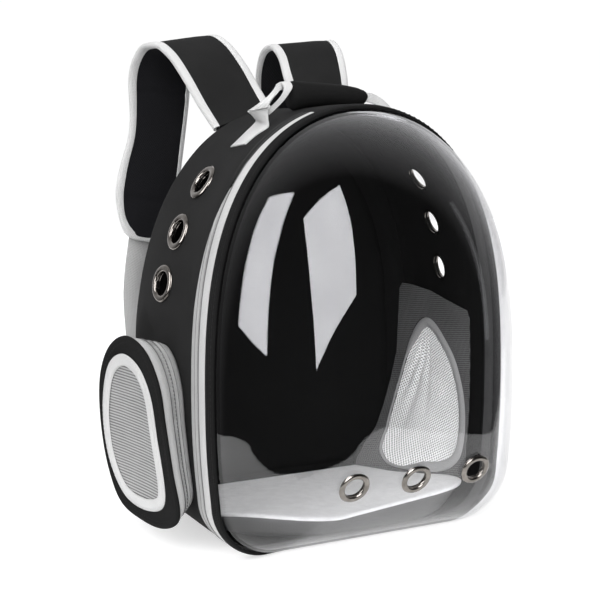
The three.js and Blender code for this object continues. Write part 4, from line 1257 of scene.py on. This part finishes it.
def lining(side):
    hole = inset(TRIM_LOOP, -0.3)
    far = lining_edge(hole)

    def layer(offset):
        rows = []
        for t in (0, 0.2, 0.4, 0.6, 0.8, 1):
            wave = 0.8 * (1 - abs(2 * t - 1))
            points = [a.lerp(b, t) for a, b in zip(far, hole)]
            rows.append([lining_point(p, offset + wave * ripple((p.x, p.y, 0), 40, 7)) for p in points])
        return rows

    outer = looped(layer(1.0) + layer(1.9)[::-1])
    outer.lay_flat()
    add_side(side, "lining", outer, [M_LINING], "dark_mesh", "pocket_lining")
    trim = looped([[lining_point(p, offset) for p in trim_loop(d)] for d, offset in TRIM_SECTION])
    add_side(side, "lining_trim", trim, [M_TRIM], "grey_webbing", "pocket_trim")
    edge = trim_loop(TRIM_WIDTH)[::3]

    def screen_point(p, offset):
        calm = ease(2, 14, min((p - q).length for q in edge))
        return lining_point(p, offset - 1.5 + screen_fold(p) * calm)

    hem = trim_loop(TRIM_WIDTH - 1)
    add_net(side, "screen", hem, (56, 60), (0.9, 0.2), screen_point, M_SCREEN_GLOWING, "pocket_screen")


# Handle and straps

def ribbon(middle, across, face):
    """Section of webbing; across spans its width."""
    return [middle + across * u / 2 + face * v * WEB_THICK for u, v in RIBBON_SECTION]


def band(shape, rows):
    """Flat webbing between two edges; rows hold a point of each, and none lies under the roof."""
    steps = 40
    pairs = [[Vector((x, y, max(z, arch_height(x) + 1.2))) for x, y, z in row] for row in rows]
    places = [(len(rows) - 1) * i / steps for i in range(steps + 1)]
    edges = [[catmull(edge, place) for place in places] for edge in zip(*pairs)]
    middles = [(p + q) / 2 for p, q in zip(*edges)]
    rings = []
    for i, (p, q) in enumerate(zip(*edges)):
        along = middles[min(i + 1, steps)] - middles[max(i - 1, 0)]
        face = along.cross(q - p).normalized()
        rings.append(ribbon(middles[i], q - p, face))
    shape.tube(rings)


def handle():
    for side, bands in HANDLE_BANDS.items():
        shape = Shape()
        for rows in bands:
            band(shape, rows)
        add_piece(f"handle_strap_{side}", shape, [M_WEBBING], "grey_webbing", f"handle_webbing_{side}")
    rings = []
    for x, low, high, deep in GRIP_STATIONS:
        ring = []
        for k in range(40):
            t = 2 * math.pi * k / 40
            puff = 1 + 0.03 * ripple((x, 10 * math.cos(t), 10 * math.sin(t)), 12, 5)
            z = (low + high + (high - low) * puff * math.sin(t)) / 2
            ring.append(Vector((x, GRIP_Y + deep / 2 * puff * math.cos(t), z)))
        rings.append(ring)
    roll = make("grip_roll", tubed(rings), [M_BLACK_PAD], 60)
    puffed(roll, 0.0022, 3.0, 0.0008)
    dress(roll, "black_fabric", "handle_grip")


class Course:
    """The way a shoulder strap lies: points by share of its length, across it and outwards."""

    def __init__(self, rows):
        points = [Vector((-x, y, z)) for x, y, z, _, _ in rows]
        self.last = len(rows) - 1
        self.line = [catmull(points, self.last * i / COURSE_STEPS) for i in range(COURSE_STEPS + 1)]
        self.reach = distances(self.line)
        self.length = self.reach[-1]
        self.tilts = [(i, row[3]) for i, row in enumerate(rows)]
        self.turns = [(i, row[4]) for i, row in enumerate(rows)]

    def axes(self, share):
        """Middle of the strap, and the directions across, along and out of it."""
        i, part = locate(self.reach, min(max(share, 0), 1) * self.length)
        middle = self.line[i].lerp(self.line[i + 1], part)
        j = min(max(i, 4), COURSE_STEPS - 5)
        along = (self.line[j + 5] - self.line[j - 4]).normalized()
        place = self.last * (i + part) / COURSE_STEPS
        tilt, turn = (math.radians(lookup(rows, place)) for rows in (self.tilts, self.turns))
        side = Vector((math.cos(tilt) * math.cos(turn), math.cos(tilt) * math.sin(turn), math.sin(tilt)))
        side = (side - along * side.dot(along)).normalized()
        return middle + along * (min(share, 0) * self.length), side, along, side.cross(along)

    def point(self, share, across, out):
        middle, side, _, face = self.axes(share)
        if across < 0:
            waist = 0.2 * math.exp(-((middle.z - 395) / 38) ** 2)
            across *= 1 - waist - 0.22 * (1 - ease(285, 330, middle.z))
        return middle + side * across + face * out

    def edge(self, i, distance):
        """Share of the length and half width at step i of the outline, moved inwards."""
        straight = 1 - STRAP_END / self.length
        half = STRAP_WIDTH / 2 - distance
        if i <= STRAP_STEPS:
            start = -STRAP_TUCK / self.length
            return start + (straight - start) * i / STRAP_STEPS, half
        angle = math.radians(STRAP_END_ANGLE) * (i - STRAP_STEPS) / STRAP_END_STEPS
        end = math.sin(angle) * (STRAP_END - distance) / self.length
        return straight + end, half * math.cos(angle) ** STRAP_END_POWER


def strap(side):
    course = Course(STRAP_ROWS[side])
    steps = range(STRAP_STEPS + STRAP_END_STEPS + 1)
    shares = [course.edge(i, 4)[0] for i in steps]
    seams = [max(s for s in shares if course.axes(s)[0].z >= z) * course.length for z in STRAP_SEAMS]
    rings = []
    for i in steps:
        share, half = course.edge(i, 4)
        along = share * course.length
        seam = 1 - 0.4 * max(math.exp(-((along - place) / 3) ** 2) for place in seams)
        outer, under = [], []
        for k in range(STRAP_ACROSS):
            u = -1 + 2 * k / (STRAP_ACROSS - 1)
            crown = 0.5 + 0.5 * (1 - abs(u) ** 2.6)
            dent = 0.5 * ripple((along, u * 30, 0), 28, STRAP_SEEDS[side])
            outer.append(course.point(share, u * half, STRAP_THICK / 2 * crown + dent * crown * 0.6))
            under.append(course.point(share, u * half, -STRAP_THICK / 2 * crown * seam + dent * crown))
        rings.append(outer + under[::-1])
    pad = tubed(rings, lambda r, i: 0 if i < STRAP_ACROSS else 1)
    cushion = add_side(side, "strap_cushion", pad, [M_BLACK, M_MESH], "dark_mesh", "strap_pad")

    def trimming(i, edge, reach):
        """Section of the edge tape, reaching further in under the strap on one edge than on the other."""
        under = reach + (STRAP_BINDING - reach) * ease(STRAP_STEPS * 0.9, len(steps), i)
        under += 0.7 * ripple((shares[i] * course.length, edge * 40, 0), 30, 3.0)
        section = [
            (STRAP_BINDING, 3.5), (5.5, 3.7), (3, 3.5), (1.2, 2.9), (0.2, 1.6), (-0.2, 0), (0.2, -1.6),
            (1.2, -2.9), (min(3, under * 0.5), -3.5), (under - 1.5, -3.9), (under, -3.6), (under, -2),
            (STRAP_BINDING, 2),
        ]
        ring = []
        for width, out in section:
            share, half = course.edge(i, width)
            ring.append(course.point(share, edge * half, out))
        return ring

    edging = tubed([trimming(i, -1, 8) for i in steps] + [trimming(i, 1, 5.5) for i in reversed(steps)])
    add_side(side, "strap_edge", edging, [M_WEBBING], "grey_webbing", "strap_binding")

    out = (STRAP_THICK + WEB_THICK) / 2 + GAP
    rows = [course.point(1 - reach / course.length, 0, out) for reach in WEB_SEWN]
    rows += [Vector((-x, y, z)) for x, y, z in WEB_ROWS]
    middles = smooth_path(rows, 90)
    across = Vector((1, 0, 0))
    rings = []
    for before, middle, after in zip(middles[:1] + middles, middles, middles[1:] + middles[-1:]):
        along = (after - before).normalized()
        way = (across - along * across.dot(along)).normalized()
        rings.append(ribbon(middle, way * WEB_WIDTH, along.cross(way)))
    # The lower webbing takes the darker webbing: painted shade
    add_side(side, "lower_web", tubed(rings), [M_LOWER_WEB_SHADED], "grey_webbing", "strap_webbing")
    slider(side, course)


def slider(side, course):
    """Ladder buckle that the lower webbing runs through."""
    middle, across, along, face = course.axes(1 - SLIDER_REACH / course.length)
    start = middle + face * (STRAP_THICK / 2 + WEB_THICK + GAP * 3)
    wide, tall = BUCKLE_HALF
    outline = rounded_square(48, 0.35)
    loop = [start + across * (wide * x) + along * (tall * y) + face * 2 for x, y in outline]
    rings = []
    for before, p, after in zip(loop[-1:] + loop, loop, loop[1:] + loop[:1]):
        way = (after - before).normalized().cross(face).normalized()
        rings.append(circle(p, way, face * 0.8, 2.2, 12))
    shape = looped(rings)
    bar = [start + across * (-16 + 32 * i / 8) + face * 2.2 for i in range(9)]
    shape.tube([circle(p, along, face * 0.7, 2.4, 12) for p in bar])
    add_side(side, "buckle", shape, [M_PLASTIC], "black_plastic", "strap_slider")


# Stage, lights and camera

def flat_piece(name, points, material):
    """One flat face."""
    shape = Shape()
    shape.verts = points
    shape.faces = [tuple(range(len(points)))]
    shape.uvs = [tuple((p.x, p.y) for p in points)]
    shape.mats = [0]
    return make(name, shape, [material])


def stage():
    """Table top that ends a little in front of the bag, as its reflection in the dome shows."""
    front, rest = ([Vector((x, y, 0)) for x, y in rows] for rows in (TABLE_EDGE, TABLE_FAR))
    n = material("pale_floor")
    colour = n.ramp(n.noise(400, 2.0), (0.3, grey(196)), (0.7, grey(202)))
    pale = n.principled(
        Base_Color=colour, Roughness=0.8, Specular_IOR_Level=0.1,
        Emission_Color=colour, Emission_Strength=1.0,
    )
    floor = flat_piece("floor", smooth_path(front, 90) + rest, pale)


def light_panel(name, radiance, corners):
    """Panel that the dome mirrors; it lights nothing else and stays out of the camera's sight."""
    n = material(name)
    glow = n.ramp(n.noise(600, 2.0), (0.3, (0.84, 0.84, 0.87)), (0.7, (1, 1, 1.03)))
    bright = n.principled(
        Base_Color=(0, 0, 0, 1), Specular_IOR_Level=0, Emission_Color=glow, Emission_Strength=radiance,
    )
    panel = flat_piece(name, [Vector(p) for p in corners], bright)
    panel.visible_camera = False
    panel.visible_diffuse = False
    panel.visible_shadow = False


def lamp(name, kind, place, target, energy):
    light = bpy.data.lights.new(name, kind)
    light.energy = energy
    obj = link(name, light)
    spot = metres(place)
    turn = (metres(target) - spot).to_track_quat("-Z", "Y").to_matrix().to_4x4()
    obj.matrix_world = Matrix.Translation(spot) @ turn
    obj.visible_glossy = False
    return light


def lights():
    """White paper for the camera, a dim room with a bright side for the rest, and soft lamps."""
    world = bpy.data.worlds.new("studio")
    bpy.context.scene.world = world
    n = Nodes(world, "ShaderNodeOutputWorld")
    dot = n.add("ShaderNodeVectorMath", operation="DOT_PRODUCT")
    n.numbered(dot, {0: n.coords("Generated"), 1: BRIGHT_WAY})
    shade = n.ramp(dot.outputs["Value"], (0.0, (0.03, 0.03, 0.03)), (0.85, (0.9, 0.9, 0.92)))
    room = n.feed(n.add("ShaderNodeBackground"), Color=shade)
    paper = n.feed(n.add("ShaderNodeBackground"), Color=(1, 1, 1, 1), Strength=1.02)
    n.finish(n.mixed(n.add("ShaderNodeLightPath").outputs["Is Camera Ray"], room, paper))
    for name, (radiance, corners) in LIGHT_PANELS.items():
        light_panel(name, radiance, corners)
    for name, (place, strength) in SUNS.items():
        sun = lamp(name, "SUN", place, (0, 0, 0), strength)
        sun.angle = math.radians(SUN_ANGLE)
    key = lamp("soft_key", "AREA", KEY_PLACE, KEY_AIM, KEY_ENERGY)
    key.shape = "RECTANGLE"
    key.size, key.size_y = 1.2, 1.4


def camera():
    turn, rise, roll = (math.radians(angle) for angle in CAMERA_ANGLES)
    ahead = Vector((-math.sin(turn) * math.cos(rise), math.cos(turn) * math.cos(rise), -math.sin(rise)))
    right = ahead.cross(Vector((0, 0, 1))).normalized()
    up = right.cross(ahead)
    right, up = right * math.cos(roll) + up * math.sin(roll), up * math.cos(roll) - right * math.sin(roll)
    data = bpy.data.cameras.new("camera")
    data.sensor_width = 36
    data.lens = data.sensor_width * FOCAL_PIXELS / IMAGE_WIDTH
    data.clip_start, data.clip_end = 0.01, 50
    obj = link("camera", data)
    rotation = Matrix((right, up, -ahead)).transposed().to_4x4()
    obj.matrix_world = Matrix.Translation(metres(CAMERA_PLACE)) @ rotation
    bpy.context.scene.camera = obj


bpy.context.scene.view_settings.view_transform = "Standard"
camera()
lights()
stage()
body()
back_panel()
mat()
dome()
rim_bands()
eyelets()
for label in SIDES:
    pocket(label)
    strap(label)
handle()
